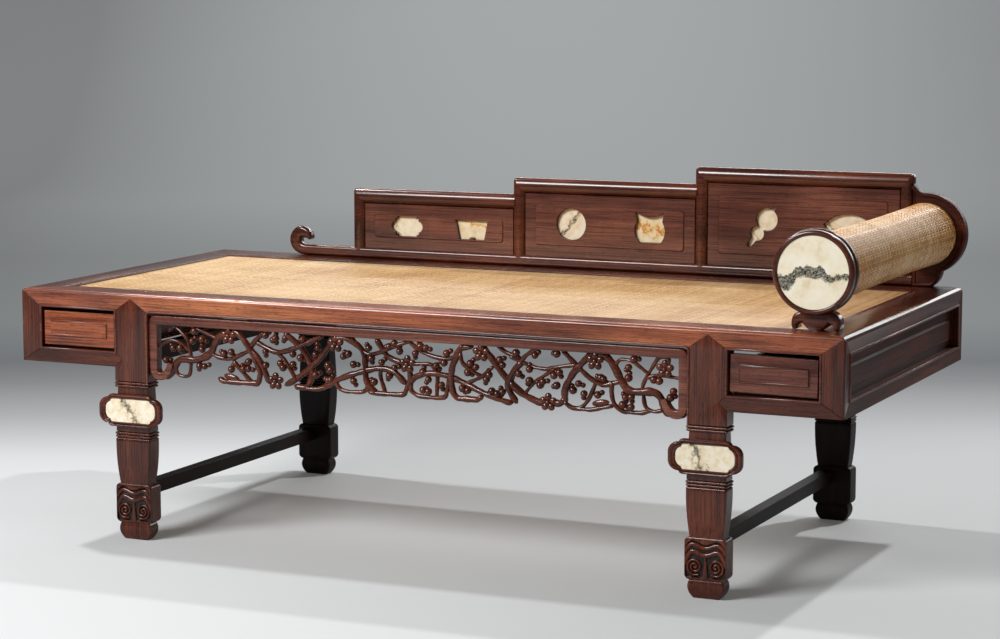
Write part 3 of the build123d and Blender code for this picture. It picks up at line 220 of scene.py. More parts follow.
bpy.context.scene.camera = camera
bpy.context.scene.view_settings.view_transform = "Standard"

# name, place, point it is aimed at, width, height and watts
LAMPS = (
    ("high_left", (-2.95, 0.6, 4.2), (-0.1, 0.0, 0.5), 0.26, 0.2, 106),
    ("high_right", (1.75, 2.7, 4.2), (0.1, 0.0, 0.5), 0.18, 0.18, 108),
    ("back_strip", (-0.6, 3.2, 2.2), (0.0, 0.0, 0.5), 3.6, 0.5, 40),
    ("side_strip", (1.55, 3.4, 1.5), (0.8, 0.3, 0.5), 1.8, 0.9, 17),
    ("front_softbox", (-1.9, -3.6, 3.1), (-0.1, 0.0, 0.35), 2.0, 1.2, 215),
)
for name, at, aim, width, height, watts in LAMPS:
    lamp = bpy.data.lights.new(name, "AREA")
    lamp.shape = "RECTANGLE"
    lamp.size = width
    lamp.size_y = height
    lamp.energy = watts
    holder = bpy.data.objects.new(name, lamp)
    bpy.context.scene.collection.objects.link(holder)
    holder.location = at
    holder.rotation_euler = (Vector(aim) - Vector(at)).to_track_quat("-Z", "Y").to_euler()

# pale, even light from all round, as white walls give
AIR_COLOUR = "#e6e6e4"
AIR_STRENGTH = 0.14
world = bpy.data.worlds.new("studio_air")
world.use_nodes = True
world.node_tree.nodes["Background"].inputs["Color"].default_value = linear(AIR_COLOUR)
world.node_tree.nodes["Background"].inputs["Strength"].default_value = AIR_STRENGTH
bpy.context.scene.world = world


# ------------------------------------------------------------------ seat frame and end boxes
# Rails, posts and bottom rails are sawn rosewood, joined with mitred mortise and tenon joints
# and no glue line: each edge is eased by hand, so that the joints show as fine V lines.
MM = 0.001
# New pieces are drawn in mm from the seat's front left corner on the floor: x runs to the right
# end, y to the back, z up. HOME is that corner's place in the model.
HOME = np.array([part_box("seat_rail_left")[0].x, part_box("seat_rail_front")[0].y, 0.0])


def box_mm(node):
    """Low and high corners of a CAD node, in mm from HOME."""
    return [(np.array(corner) - HOME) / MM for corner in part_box(node)]


LENGTH = box_mm("seat_rail_right")[1][0]
DEPTH = box_mm("seat_rail_rear")[1][1]


def rosewood(name, grain, deep, body, warm, polish):
    """Chinese rosewood, planed along its grain, oiled and rubbed to a satin polish. The eye sees
    a red-brown with long darker streaks, fine short pores and a soft gloss. grain is the axis,
    0 to 2, that the board was sawn along, and polish how much it has been rubbed, 0 to 1."""
    material, shader = new_material(
        name, Coat_Weight=0.5 * polish, Coat_Roughness=0.13, Specular_IOR_Level=0.1 + 0.5 * polish
    )
    place = add(material, "TexCoord").outputs["Object"]

    def stretched(across_mm, along_mm, detail, roughness, distortion=0.0):
        """Noise whose spots measure that many mm across the grain and along it."""
        scale = [1 / (across_mm * MM)] * 3
        scale[grain] = 1 / (along_mm * MM)
        vector = add(material, "Mapping", {0: place, 3: scale})
        look = {"Vector": vector, "Scale": 1.0, "Detail": detail, "Roughness": roughness}
        return add(material, "TexNoise", {**look, "Distortion": distortion})

    figure = stretched(34, 520, 4.0, 0.55, 0.5)
    streaks = stretched(2.6, 130, 3.0, 0.6)
    pores = stretched(0.9, 13, 1.0, 0.5)
    worn = add(material, "TexNoise", {"Vector": place, "Scale": 3.4, "Detail": 3.0, "Roughness": 0.6})
    whole = add(material, "ValToRGB", (figure,), [(0.3, deep), (0.5, body), (0.7, warm)])
    dark = add(material, "ValToRGB", (streaks,), [(0.36, "#a8a0a0"), (0.54, "#ffffff")])
    pore = add(material, "ValToRGB", (pores,), [(0.3, "#7d7676"), (0.4, "#ffffff")])
    handled = add(material, "ValToRGB", (worn,), [(0.36, "#c4bcbc"), (0.6, "#ffffff")])
    for share, tint in ((1.0, dark), (0.8, pore), (1.0, handled)):
        whole = add(material, "MixRGB", (share, whole, tint), blend_type="MULTIPLY")
    # a piece's mesh says how far its hollows are darkened towards near black: painted shade
    hollow = add(material, "Attribute", attribute_name="hollow_shade").outputs["Fac"]
    hollow_shaded = add(material, "MixRGB", (hollow, whole, linear("#0a0605")))
    dull = 0.44 - 0.4 * polish
    rough = add(material, "MapRange", (worn, 0.3, 0.7, dull, dull + 0.12))
    relief = add(material, "Bump", {"Height": pore, "Strength": 0.15, "Distance": 0.0002})
    wire(material, shader, {"Base Color": hollow_shaded, "Roughness": rough, "Normal": relief})
    return material


# deep streak, body, warm streak and polish of the shades of one rosewood, partly painted light
# and shade: the paler, warmer ones go on faces that get the most light, and the nearly black ones
# are painted shade on parts in shadow at the back, at the ends and under the seat
SHADES = {
    "amber": ("#803e25", "#ad5d3a", "#ca7a48", 0.6),
    "rose": ("#5a2c21", "#7a4435", "#905842", 0.58),
    "russet": ("#3d160a", "#5c2713", "#783a21", 0.62),
    "dark": ("#39150b", "#5b2716", "#763823", 0.13),
    "painted_deep_shade": ("#170a07", "#20100b", "#2c1711", 0.1),
}
WOOD = {
    (shade, axis): rosewood(shade + "_rosewood_along_" + axis, "xyz".index(axis), *colours)
    for shade, colours in SHADES.items()
    for axis in "xyz"
}


def ease(obj, width):
    """Rounds the edges of a piece over by a width in millimetres, with a live bevel."""
    bevel = obj.modifiers.new("eased_edges", "BEVEL")
    bevel.width = width * MM
    bevel.segments = 2
    bevel.limit_method = "ANGLE"
    bevel.angle_limit = math.radians(32)
    bevel.use_clamp_overlap = False
    bevel.harden_normals = True
    bevel.miter_outer = "MITER_ARC"


def merged(node):
    """The mesh of a CAD node as a bmesh, its loose triangles joined."""
    form = bmesh.new()
    form.from_mesh(nodes[node].data)
    bmesh.ops.remove_doubles(form, verts=form.verts, dist=2e-6)
    return form


def mesh_of(form, name):
    """A mesh of a bmesh, which is freed."""
    mesh = bpy.data.meshes.new(name)
    form.to_mesh(mesh)
    form.free()
    return mesh


ARRIS_RADIUS = 6.0


def eased(node, width, material, body="bed", arrises=()):
    """A copy of a CAD node's mesh, merged and with its flat faces made whole, its edges eased
    by a live bevel of a width in millimetres. It replaces the node. An arris is two (axis, mm)
    pairs: the edges that lie at both are rounded off."""
    form = merged(node)
    bmesh.ops.dissolve_limit(
        form, angle_limit=math.radians(0.6), verts=form.verts, edges=form.edges, delimit=set()
    )
    for arris in arrises:
        along = [
            edge
            for edge in form.edges
            if all(abs(v.co[axis] - at * MM - HOME[axis]) < 2e-5 for v in edge.verts for axis, at in arris)
        ]
        offset = ARRIS_RADIUS * MM
        bmesh.ops.bevel(
            form, geom=along, offset=offset, segments=5, profile=0.5, affect="EDGES", clamp_overlap=True
        )
    obj = put(mesh_of(form, node + "_eased"), material, body)
    ease(obj, width)
    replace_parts(obj, node)


SEAT = box_mm("seat_rail_front")[1][2]
EDGE = 1.0
FINE_EDGE = 0.5
# the right end's top edge and its upright front edge are well rounded
END_TOP = ((0, LENGTH), (2, SEAT))
END_FRONT = ((0, LENGTH), (1, 0))
# the shades are partly painted light and shade: amber where light falls, nearly black in shadow
for node, shade, grain, arrises in (
    ("seat_rail_front", "amber", "x", ()),
    ("seat_rail_rear", "russet", "x", ()),
    ("seat_rail_left", "russet", "y", ()),
    ("seat_rail_right", "russet", "y", (END_TOP, END_FRONT)),
    ("corner_post_front_left", "russet", "z", ()),
    ("corner_post_front_right", "russet", "z", (END_FRONT,)),
    ("corner_posts_rear", "dark", "z", ()),
    ("bottom_rail_front_left", "russet", "x", ()),
    ("bottom_rail_front_right", "russet", "x", ()),
    ("bottom_rails_rear", "dark", "x", ()),
    ("bottom_rail_end_left", "dark", "y", ()),
    ("bottom_rail_end_right", "dark", "y", ()),
    ("inner_side_rails", "painted_deep_shade", "y", ()),
    ("end_panel_left", "dark", "y", ()),
    ("end_panel_right", "dark", "y", ()),
):
    eased(node, EDGE, WOOD[shade, grain], arrises=arrises)
for node in ("rear_panels", "drawer_bearers", "seat_battens", "back_pins"):
    eased(node, FINE_EDGE, WOOD["dark", "x"])
eased("mat_strips", FINE_EDGE, WOOD["russet", "x"])
# the apron's back, in the shadow under the seat, is painted nearly black: painted shade
eased("apron_rear", EDGE, WOOD["painted_deep_shade", "x"])

# A half-round thread, worked in the solid, runs round each opening of the case. It is shown as
# its own mouldings, half sunk in the faces. The left end's is low, to stay within the model's box.
THREAD_RADIUS = 2.3
LOW_THREAD_RADIUS = 0.9
THREAD_SETBACK = 2.6
THREAD_COLUMNS = 10
# the arch over the apron has small rounded corners and ends over the legs' upper rings
ARCH_CORNER = 9
ARCH_FOOT = 334.0
# the opening in each end starts this far from its front and back
END_OPENING = 31
OPENING_LEFT = box_mm("corner_post_front_left")[1][0]
# outer and inner side of a leg, from the end of the daybed that it is nearer to
LEG_OUTER = 229.25
LEG_INNER = 309.75
OPENING_FLOOR = box_mm("bottom_rail_end_left")[1][2]
RAIL_UNDER = box_mm("seat_rail_front")[0][2]


def closed_mesh(name, points, faces, weld=False):
    """A mesh of points in mm, its faces turned outward. weld joins the points that coincide."""
    mesh = bpy.data.meshes.new(name)
    mesh.from_pydata((np.array(points) * MM + HOME).tolist(), [], faces)
    form = bmesh.new()
    form.from_mesh(mesh)
    if weld:
        bmesh.ops.remove_doubles(form, verts=form.verts, dist=1e-6)
    bmesh.ops.recalc_face_normals(form, faces=form.faces)
    form.to_mesh(mesh)
    form.free()
    return mesh


def shell_mesh(name, shells):
    """One mesh of closed shells, faces outward. A shell is a grid of points in mm, an array
    (rows, columns, 3), whose columns close into rings. Its first and last rows are capped, or
    meet if the shell is paired with True."""
    points, faces, start = [], [], 0
    for grid, loops in shells:
        rows, columns = grid.shape[:2]
        index = start + np.arange(rows * columns).reshape(rows, columns)
        ring = np.concatenate([index, index[:, :1]], axis=1)
        if loops:
            ring = np.concatenate([ring, ring[:1]], axis=0)
        else:
            faces += [index[0].tolist(), index[-1].tolist()]
        corners = (ring[:-1, :-1], ring[:-1, 1:], ring[1:, 1:], ring[1:, :-1])
        faces += np.stack([c.ravel() for c in corners], axis=1).tolist()
        points.append(grid.reshape(-1, 3))
        start += rows * columns
    return closed_mesh(name, np.concatenate(points), faces)


def thread(corners, closed, out, radius=THREAD_RADIUS):
    """A thread along straight runs, mitred at its corners: at each corner a circle about it,
    stretched along the mitre, with out the direction that it stands proud in. The corners are
    in mm, x, y and z."""
    corners = np.array(corners, float)
    ahead = np.roll(corners, -1, axis=0) - corners
    behind = corners - np.roll(corners, 1, axis=0)
    if not closed:
        ahead[-1] = behind[-1]
        behind[0] = ahead[0]
    ahead /= np.linalg.norm(ahead, axis=1)[:, None]
    behind /= np.linalg.norm(behind, axis=1)[:, None]
    side = np.cross(ahead, out)
    across = side + np.cross(behind, out)
    across /= (across * side).sum(axis=1)[:, None]
    angle = np.linspace(0, 2 * math.pi, THREAD_COLUMNS, endpoint=False)
    ring = across[:, None] * np.cos(angle)[:, None] + np.array(out, float) * np.sin(angle)[:, None]
    return corners[:, None] + radius * ring, closed


def rectangle(low_a, high_a, low_b, high_b):
    """Corners of a rectangle in two directions."""
    return np.array([(low_a, low_b), (high_a, low_b), (high_a, high_b), (low_a, high_b)], float)


low_z = OPENING_FLOOR - THREAD_SETBACK
high_z = RAIL_UNDER + THREAD_SETBACK
threads = []
for left, right in (
    (OPENING_LEFT - THREAD_SETBACK, LEG_OUTER + THREAD_SETBACK),
    (LENGTH - LEG_OUTER - THREAD_SETBACK, LENGTH - OPENING_LEFT + THREAD_SETBACK),
):
    x, z = rectangle(left, right, low_z, high_z).T
    threads.append(thread(np.stack([x, 0 * x, z], 1), True, (0, -1, 0)))
y, z = rectangle(END_OPENING, DEPTH - END_OPENING, low_z, high_z).T
for end_x, out, radius in ((LENGTH, 1, THREAD_RADIUS), (LOW_THREAD_RADIUS, -1, LOW_THREAD_RADIUS)):
    threads.append(thread(np.stack([0 * y + end_x, y, z], 1), True, (out, 0, 0), radius))
turn = np.linspace(0, math.pi / 2, 6)
arch_x = LEG_INNER - THREAD_SETBACK + ARCH_CORNER * (1 - np.cos(turn))
arch_z = high_z - ARCH_CORNER * (1 - np.sin(turn))
arch_x = np.concatenate([[arch_x[0]], arch_x, LENGTH - arch_x[::-1], [LENGTH - arch_x[0]]])
arch_z = np.concatenate([[ARCH_FOOT], arch_z, arch_z[::-1], [ARCH_FOOT]])
threads.append(thread(np.stack([arch_x, 0 * arch_x, arch_z], 1), False, (0, -1, 0)))
put(shell_mesh("case_threads", threads), WOOD["rose", "x"], crease=50)


# ------------------------------------------------------------------ drawers
# Each front is one board with a raised, bevelled field and no pull. It is glued to the ends of
# plain sides, and the box runs on the bottom rail and two bearers.
def front_outlines(node):
    """Outlines of a CAD node's front faces, each an array of x and z in mm, in order round it."""
    form = merged(node)
    nearest = min(v.co.y for v in form.verts)
    front = [f for f in form.faces if all(v.co.y - nearest < 2e-6 for v in f.verts)]
    rim = [e for f in front for e in f.edges if sum(g in front for g in e.link_faces) == 1]
    outlines = []
    while rim:
        edge = rim.pop()
        start, at = edge.verts
        walk = [start, at]
        while at is not start:
            edge = next(e for e in at.link_edges if e in rim)
            rim.remove(edge)
            at = edge.other_vert(at)
            walk.append(at)
        points = np.array([(v.co.x, v.co.z) for v in walk[:-1]]) - HOME[[0, 2]]
        outlines.append(points / MM)
    form.free()
    return sorted(outlines, key=lambda line: line[:, 0].mean())


def anticlockwise(line):
    """The outline, turned round if it runs clockwise."""
    x, z = line.T
    area = (x * np.roll(z, -1) - np.roll(x, -1) * z).sum()
    return line if area > 0 else line[::-1]


# the bead's radius, and how far its middle lies behind the front's face
FIELD_BEAD = 1.7
BEAD_SUNK = 0.7
# the left drawer's front gets the paler amber and the right one's the darker rose: painted light
for hand in ("left", "right"):
    body = hand + "_drawer"
    wood = WOOD["amber" if hand == "left" else "rose", "x"]
    eased(body + "_front", EDGE, wood, body)
    field = front_outlines(body + "_front")[0]
    (left, low), (right, high) = field.min(axis=0), field.max(axis=0)
    x, z = rectangle(left, right, low, high).T
    face = box_mm(body + "_front")[0][1] + BEAD_SUNK
    bead = thread(np.stack([x, 0 * x + face, z], 1), True, (0, -1, 0), FIELD_BEAD)
    put(shell_mesh(body + "_field_bead", [bead]), wood, body, crease=50)
    for part in ("sides", "back", "bottom"):
        eased(body + "_" + part, FINE_EDGE, WOOD["russet", "y"], body)


# ------------------------------------------------------------------ legs
# Each leg is one plank of rosewood: a mitred, pointed head, two turned-looking ring beads cut by
# chisel, a shank that tapers with a slight swell, a block and a rolled foot.
LEG_HALF = (LEG_INNER - LEG_OUTER) / 2
LEG_MIDDLE = (LEG_INNER + LEG_OUTER) / 2
LEG_DEEP = 19.0
LEG_CUT = 336.0
RING_HEIGHTS = (224.0, 330.0)
CARVING_DEPTH = 4.6
FOOT_TOP = 36.0
BLOCK_TOP = 119.0
SHANK_TOP = 216.0
# ankle inset, sole inset, foot's bulge and rounding of the block's ends, seen from the front
# and from the side
FRONT_SHAPE = (6.25, 12.75, 5.75, 1.0)
SIDE_SHAPE = (2.5, 5.0, 2.75, 0.3)
# (height, fall) of the waves over the spirals, and the spirals' middle, aside and up
UPPER_BROW = (105.5, 16.0)
LOWER_BROW = (91.5, 24.0)
SPIRAL_AT = (21.5, 62.5)


def arc_rows(low, high, count, start, middle, end):
    """Heights from low to high with a half size that follows a parabola through three sizes."""
    share = np.linspace(0, 1, count)
    half = start + (end - start) * share + 4 * (middle - (start + end) / 2) * share * (1 - share)
    return np.stack([low + (high - low) * share, half], axis=1)


def leg_profile(half, ankle_inset, sole_inset, bulge, rounding):
    """Half size of a leg at rising heights: foot roll, block, shank and ring beads, in mm. The
    block's ends are rounded off, by rounding times their height."""
    ankle = half - ankle_inset
    sole = half - sole_inset
    middle = FOOT_TOP / 2
    rows = [(0, sole - 1.5), (1.5, sole)]
    foot = arc_rows(1.5, FOOT_TOP - 1, 12, sole, (sole + ankle) / 2 + bulge, ankle)
    rows += foot.tolist()
    rows += [(FOOT_TOP, ankle - 0.8)]
    turn = np.linspace(0, math.pi / 2, 12)
    low, top = 11.0, 9.0
    cut = rounding * low * (1 - np.sin(turn))
    rows += np.stack([FOOT_TOP + low * (1 - np.cos(turn)), half + 2 - cut], 1).tolist()
    rows += [(height, half + 2) for height in np.arange(FOOT_TOP + low + 0.8, BLOCK_TOP - top, 0.8)]
    cut = rounding * top * (1 - np.cos(turn))
    rows += np.stack([BLOCK_TOP - top * (1 - np.sin(turn)), half + 2 - cut], 1).tolist()
    rows += [(BLOCK_TOP + 0.3, ankle)]
    rows += arc_rows(BLOCK_TOP + 1, SHANK_TOP - 2.5, 18, ankle, (half + ankle) / 2 + 2, half + 0.6).tolist()
    rows += [(SHANK_TOP - 0.8, half - 0.4), (SHANK_TOP, half - 1.6), (SHANK_TOP + 0.4, half - 3.2)]
    for ring in RING_HEIGHTS:
        for middle, radius in ((ring - 4.6, 2.6), (ring + 1.6, 3.0)):
            swell = np.linspace(-math.pi / 2, math.pi / 2, 9)
            bead = np.stack([middle + radius * np.sin(swell), half - 1.4 + radius * np.cos(swell)], 1)
            groove = half - 3.4
            rows += [(middle - radius - 0.3, groove), *bead.tolist(), (middle + radius + 0.3, groove)]
        rows += [(ring + 5.4, half - 2.6), (ring + 6.0, half)]
    rows += [(LEG_CUT + 0.5, half)]
    return np.array(rows)


def spiral_line(centre_x, centre_z, hand):
    """A spiral of a little over two turns that starts low on its inner side and winds inwards."""
    turn = np.linspace(0, 2.1 * 2 * math.pi, 190)
    radius = 16.8 - 15.2 * turn / turn[-1]
    angle = -2.0 + turn
    return np.stack([centre_x + hand * radius * np.cos(angle), centre_z + radius * np.sin(angle)], axis=1)


def brow(across, crest, fall):
    """Height of a wave with a crest over each spiral, a dip between them, and a fall outside."""
    away = np.abs(across)
    dip = 6.8 * (0.5 + 0.5 * np.cos(math.pi * np.minimum(away, 25) / 25))
    return crest - dip - fall * np.clip((away - 25) / 17, 0, 1) ** 2


def carved_height(across, height):
    """Height of the carving over its ground, 0 to 1: round ridges along two brow waves and a pair
    of spirals, a field over the upper wave and a wedge between the spirals."""
    relief = np.zeros_like(across)
    run = np.linspace(-42.5, 42.5, 120)
    aside, up = SPIRAL_AT
    ridges = (
        (spiral_line(aside, up, 1), 2.95),
        (spiral_line(-aside, up, -1), 2.95),
        (np.stack([run, brow(run, *UPPER_BROW)], 1), 4.7),
        (np.stack([run, brow(run, *LOWER_BROW)], 1), 5.2),
    )
    for line, half in ridges:
        gap = np.hypot(across[..., None] - line[:, 0], height[..., None] - line[:, 1]).min(axis=-1)
        relief = np.maximum(relief, np.sqrt(np.clip(1 - (gap / half) ** 2, 0, 1)))
    sky = np.clip((height - brow(across, *UPPER_BROW) - 6.4) / 1.6, 0, 1)
    wedge = np.clip((2.6 + (80 - height) * 0.1 - np.abs(across)) / 1.6, 0, 1) * (height < 84)
    foot_rim = np.clip((42.5 - height) / 1.5, 0, 1)
    return np.maximum.reduce([relief, sky, wedge * 0.8, foot_rim])


def leg_grid(across_front, carved):
    """The leg below its cut as a grid: one ring of points per height, a rounded rectangle whose
    front side has many points for the carving. Front left leg, from its own middle, in mm."""
    front = leg_profile(LEG_HALF, *FRONT_SHAPE)
    side = leg_profile(LEG_DEEP, *SIDE_SHAPE)
    corner = 2.2
    quarter = np.linspace(0, math.pi / 2, 4)
    turn, flat_x, flat_y = [], [], []
    sides = ((-1, -1, 1, -1, across_front), (1, -1, 1, 1, 6), (1, 1, -1, 1, 8), (-1, 1, -1, -1, 6))
    for number, (x0, y0, x1, y1, count) in enumerate(sides):
        share = np.linspace(0, 1, count, endpoint=False)[1:]
        start = -math.pi / 2 + number * math.pi / 2
        turn += [start] * len(share) + (start + quarter).tolist()
        flat_x += (x0 + (x1 - x0) * share).tolist() + [x1] * 4
        flat_y += (y0 + (y1 - y0) * share).tolist() + [y1] * 4
    turn, flat_x, flat_y = (np.array(values) for values in (turn, flat_x, flat_y))
    x = flat_x * (front[:, 1:] - corner) + corner * np.cos(turn)
    y = flat_y * (side[:, 1:] - corner) + corner * np.sin(turn)
    z = np.repeat(front[:, :1], len(turn), axis=1)
    hollow_shade = np.zeros_like(x)
    if carved:
        on_front = (np.abs(turn + math.pi / 2) < 1e-6) & (np.abs(flat_x) <= 1)
        in_block = (front[:, 0] > FOOT_TOP + 3) & (front[:, 0] < BLOCK_TOP - 3)
        low = np.where(in_block[:, None] & on_front[None, :], 1 - carved_height(x, z), 0)
        y = y + CARVING_DEPTH * low
        # the carving's ground is darkened the deeper it lies: painted shade in its hollows
        hollow_shade = np.clip(low * 1.6 - 0.6, 0, 0.92)
    return np.stack([x, y, z], axis=-1), hollow_shade


def leg_head(node):
    """The leg above the cut, as the CAD mesh has it, with its pointed head, notch and tenon."""
    form = merged(node)
    everything = form.verts[:] + form.edges[:] + form.faces[:]
    bmesh.ops.bisect_plane(
        form, geom=everything, plane_co=(0, 0, LEG_CUT * MM), plane_no=(0, 0, 1), clear_inner=True
    )
    bmesh.ops.holes_fill(form, edges=[edge for edge in form.edges if edge.is_boundary])
    return mesh_of(form, node + "_head")


def set_hollow_shade(mesh, values):
    """Marks how much painted shade, darkening in its hollows, the mesh gets at each of its points, 0 to 1.
    """
    mesh.attributes.new("hollow_shade", "FLOAT", "POINT").data.foreach_set("value", values)


for node, middle_x, face in (
    ("leg_front_left", LEG_MIDDLE, 1),
    ("leg_front_right", LENGTH - LEG_MIDDLE, 1),
    ("leg_rear_left", LEG_MIDDLE, -1),
    ("leg_rear_right", LENGTH - LEG_MIDDLE, -1),
):
    middle_y = LEG_DEEP if face > 0 else DEPTH - LEG_DEEP
    grid, hollow_shade = leg_grid(130 if face > 0 else 8, face > 0)
    grid = grid * np.array([1, face, 1]) + np.array([middle_x, middle_y, 0])
    # the rear legs, in the shadow under the seat, are painted nearly black: painted shade
    wood = WOOD["russet" if face > 0 else "painted_deep_shade", "z"]
    mesh = shell_mesh(node + "_shank", [(grid, False)])
    set_hollow_shade(mesh, hollow_shade.ravel())
    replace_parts(put(mesh, wood), node)
    head = put(leg_head(node), wood)
    ease(head, EDGE)
    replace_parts(head, node)

# a stretcher runs from front to back between the legs at each end, tenoned into them
STRETCHER_EDGE = 1.2
# the stretchers, in the shadow under the seat, are painted nearly black: painted shade
for hand in ("left", "right"):
    eased("stretcher_" + hand, STRETCHER_EDGE, WOOD["painted_deep_shade", "y"])


# ------------------------------------------------------------------ plaques
# A lobed rosewood frame on each front leg, moulded with a roll and a bead, pinned over the
# collar between the two rings, with a marble slip set in its opening.
def rounded_box(x, z, width, height, corner):
    """Distance from points to a rounded rectangle about the origin, below 0 inside."""
    over_x = np.abs(x) - width / 2 + corner
    over_z = np.abs(z) - height / 2 + corner
    outside = np.hypot(np.maximum(over_x, 0), np.maximum(over_z, 0))
    return outside + np.minimum(np.maximum(over_x, over_z), 0) - corner


def lobed_ray(angle, width, height, reach, step, lobe_round, body_round):
    """How far an oblong with lobed ends reaches from its middle at each angle, by halving."""
    near, far = np.zeros(len(angle)), np.full(len(angle), float(width))
    for _ in range(40):
        middle = (near + far) / 2
        x, z = middle * np.cos(angle), middle * np.sin(angle)
        body = rounded_box(x, z, width - 2 * reach, height, body_round)
        lobes = rounded_box(x, z, width, height - 2 * step, lobe_round)
        inside = np.minimum(body, lobes) < 0
        near, far = np.where(inside, middle, near), np.where(inside, far, middle)
    return near


PLAQUE_OUTER = (150, 68, 22, 6.5, 20, 8)
PLAQUE_WINDOW = (120, 50, 12, 5, 16, 5)
PLAQUE_MIDDLE = 275.0
# (share of the way from the outer edge to the window, height over the leg)
PLAQUE_MOULDING = (
    (0.03, 0.0), (0.0, 1.0), (0.0, 8.0), (0.05, 9.9), (0.14, 11.2), (0.28, 11.9), (0.42, 11.6),
    (0.52, 10.7), (0.6, 9.4), (0.64, 9.2), (0.69, 10.0), (0.77, 10.6), (0.86, 10.4), (0.94, 9.4),
    (1.0, 8.2), (1.0, 3.8),
)
angle = np.linspace(0, 2 * math.pi, 240, endpoint=False)
outer_ray = lobed_ray(angle, *PLAQUE_OUTER)
window_ray = lobed_ray(angle, *PLAQUE_WINDOW)
for hand, middle_x in (("left", LEG_MIDDLE), ("right", LENGTH - LEG_MIDDLE)):
    rings = []
    for share, rise in PLAQUE_MOULDING:
        ray = outer_ray + share * (window_ray - outer_ray)
        x, z = middle_x + ray * np.cos(angle), PLAQUE_MIDDLE + ray * np.sin(angle)
        rings.append(np.stack([x, np.full_like(x, -rise), z], 1))
    moulded = shell_mesh("plaque_frame_" + hand + "_moulded", [(np.array(rings), False)])
    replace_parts(put(moulded, WOOD["russet", "x"]), "plaque_frame_" + hand)


# ------------------------------------------------------------------ apron
# A board sawn and carved through from both sides: a flat frame, open below, whose stiles curl
# inwards into the trunks of two plum trees. Their branches cross over and under, with buds,
# blossoms and a few leaves. It is tongued into the seat rail and let in between the legs.
APRON_STILE = 20.0
APRON_RAIL = 19.5
APRON_THICK = 20.0
BRANCH_DROP = 112.5
# The carving is marked out on a grid in the frame's opening, with this many steps from its left
# to its right side, and from under its rail down by BRANCH_DROP
GRID_ACROSS = 200
GRID_DOWN = 100
# half width in mm, then the route, as steps across and down
BRANCHES = (
    (6.0, ((-1, 103), (4, 93), (6, 77), (9, 63), (16, 61), (21, 48), (23, 29), (25, 15), (29, 13))),
    (2.8, (
        (4, 10), (6, 2), (9, 11), (12, 26), (13, 48), (13, 68), (12, 91), (9, 94), (7, 88), (7, 74),
        (9, 65),
    )),
    (2.8, ((-1, 40), (1, 38), (4, 29), (8, 30), (12, 44))),
    (2.8, ((14, 0), (19, 10), (24, 20))),
    (3.5, ((22, 49), (25, 55), (30, 55), (33, 48), (38, 36))),
    (4.6, ((29, 13), (32, 6), (37, 31), (41, 72), (41, 85), (40, 97), (36, 101), (29, 101), (25, 93))),
    (3.4, ((31, 60), (34, 75), (38, 96))),
    (4.4, ((38, 29), (40, 17), (43, 3))),
    (4.2, ((40, 22), (45, 33), (48, 37), (52, 34), (57, 25), (66, 3))),
    (4.4, ((37, 31), (42, 58), (45, 93))),
    (4.6, ((52, 1), (58, 27), (62, 59), (62, 78), (61, 92), (59, 100), (56, 96))),
    (4.8, ((52, 95), (56, 83), (64, 51), (68, 28), (72, 4))),
    (3.2, ((48, 37), (52, 55), (56, 83))),
    (3.4, ((56, 100), (62, 101), (66, 97), (70, 89))),
    (4.6, ((72, 4), (76, 4), (81, 18), (83, 36), (84, 77), (88, 98))),
    (3.4, ((78, 2), (80, 14), (83, 27), (86, 29), (90, 23), (94, 14), (100, 2))),
    (4.8, ((66, 97), (71, 84), (76, 72), (86, 56), (91, 54), (95, 59), (99, 76))),
    (3.2, ((72, 84), (74, 96), (79, 100), (83, 96), (84, 84))),
    (4.4, ((88, 2), (90, 18), (92, 31), (96, 39), (100, 40))),
    (3.2, ((90, 52), (89, 66), (91, 95))),
    (4.0, ((84, 82), (85, 95), (88, 101), (94, 99), (98, 97), (99, 90), (100, 76))),
    (4.4, ((100, 40), (101, 65), (100, 81))),
    (3.6, ((100, 0), (103, 12), (107, 22), (111, 27), (115, 28), (118, 23), (119, 13), (121, 2))),
    (4.8, ((124, 4), (120, 8), (119, 22), (117, 43), (117, 84), (120, 99), (125, 99), (128, 91))),
    (4.6, ((101, 74), (103, 64), (108, 56), (113, 57), (118, 63), (128, 82), (139, 99))),
    (3.2, ((100, 42), (108, 40), (110, 48), (111, 59), (111, 95))),
    (3.6, ((101, 76), (101, 89), (104, 98), (109, 99), (114, 96), (115, 85), (116, 59))),
    (5.0, ((128, 1), (132, 23), (137, 52), (143, 79))),
    (3.2, ((120, 18), (121, 33), (124, 45), (128, 55))),
    (3.2, ((132, 38), (128, 55), (122, 70))),
    (3.2, ((134, 0), (137, 10), (142, 17))),
    (5.0, ((143, 24), (140, 42), (138, 63), (139, 81), (141, 96))),
    (3.6, ((149, -1), (145, 11), (142, 27), (140, 43), (139, 58))),
    (3.2, ((139, 17), (143, 25), (147, 32), (152, 34), (156, 29), (163, 23))),
    (3.8, ((158, 1), (161, 15), (167, 40), (170, 49), (173, 55), (176, 51), (179, 47))),
    (5.4, ((159, 89), (159, 68), (161, 46), (163, 31), (168, 4), (170, 1))),
    (5.2, ((139, 62), (142, 76), (146, 87), (150, 94), (153, 91), (157, 92), (159, 83))),
    (6.0, (
        (170, 1), (173, 4), (176, 18), (180, 50), (183, 62), (190, 61), (193, 69), (196, 97),
        (202, 103),
    )),
    (2.8, ((177, 18), (179, 9), (183, 10), (186, 19), (189, 30))),
    (3.0, ((196, 11), (196, 1), (193, 1), (191, 13), (187, 48), (187, 66), (188, 87), (191, 94), (194, 91))),
    (2.8, ((189, 37), (191, 32), (195, 32), (201, 36))),
    (3.4, ((170, 51), (168, 75), (166, 91), (164, 98), (161, 97), (159, 89))),
    (3.4, ((159, 91), (162, 99), (167, 100), (176, 90))),
    (3.4, ((176, 51), (176, 70), (177, 87), (180, 98), (185, 100), (190, 93))),
    (3.0, ((155, 33), (150, 50), (147, 61), (144, 80))),
)
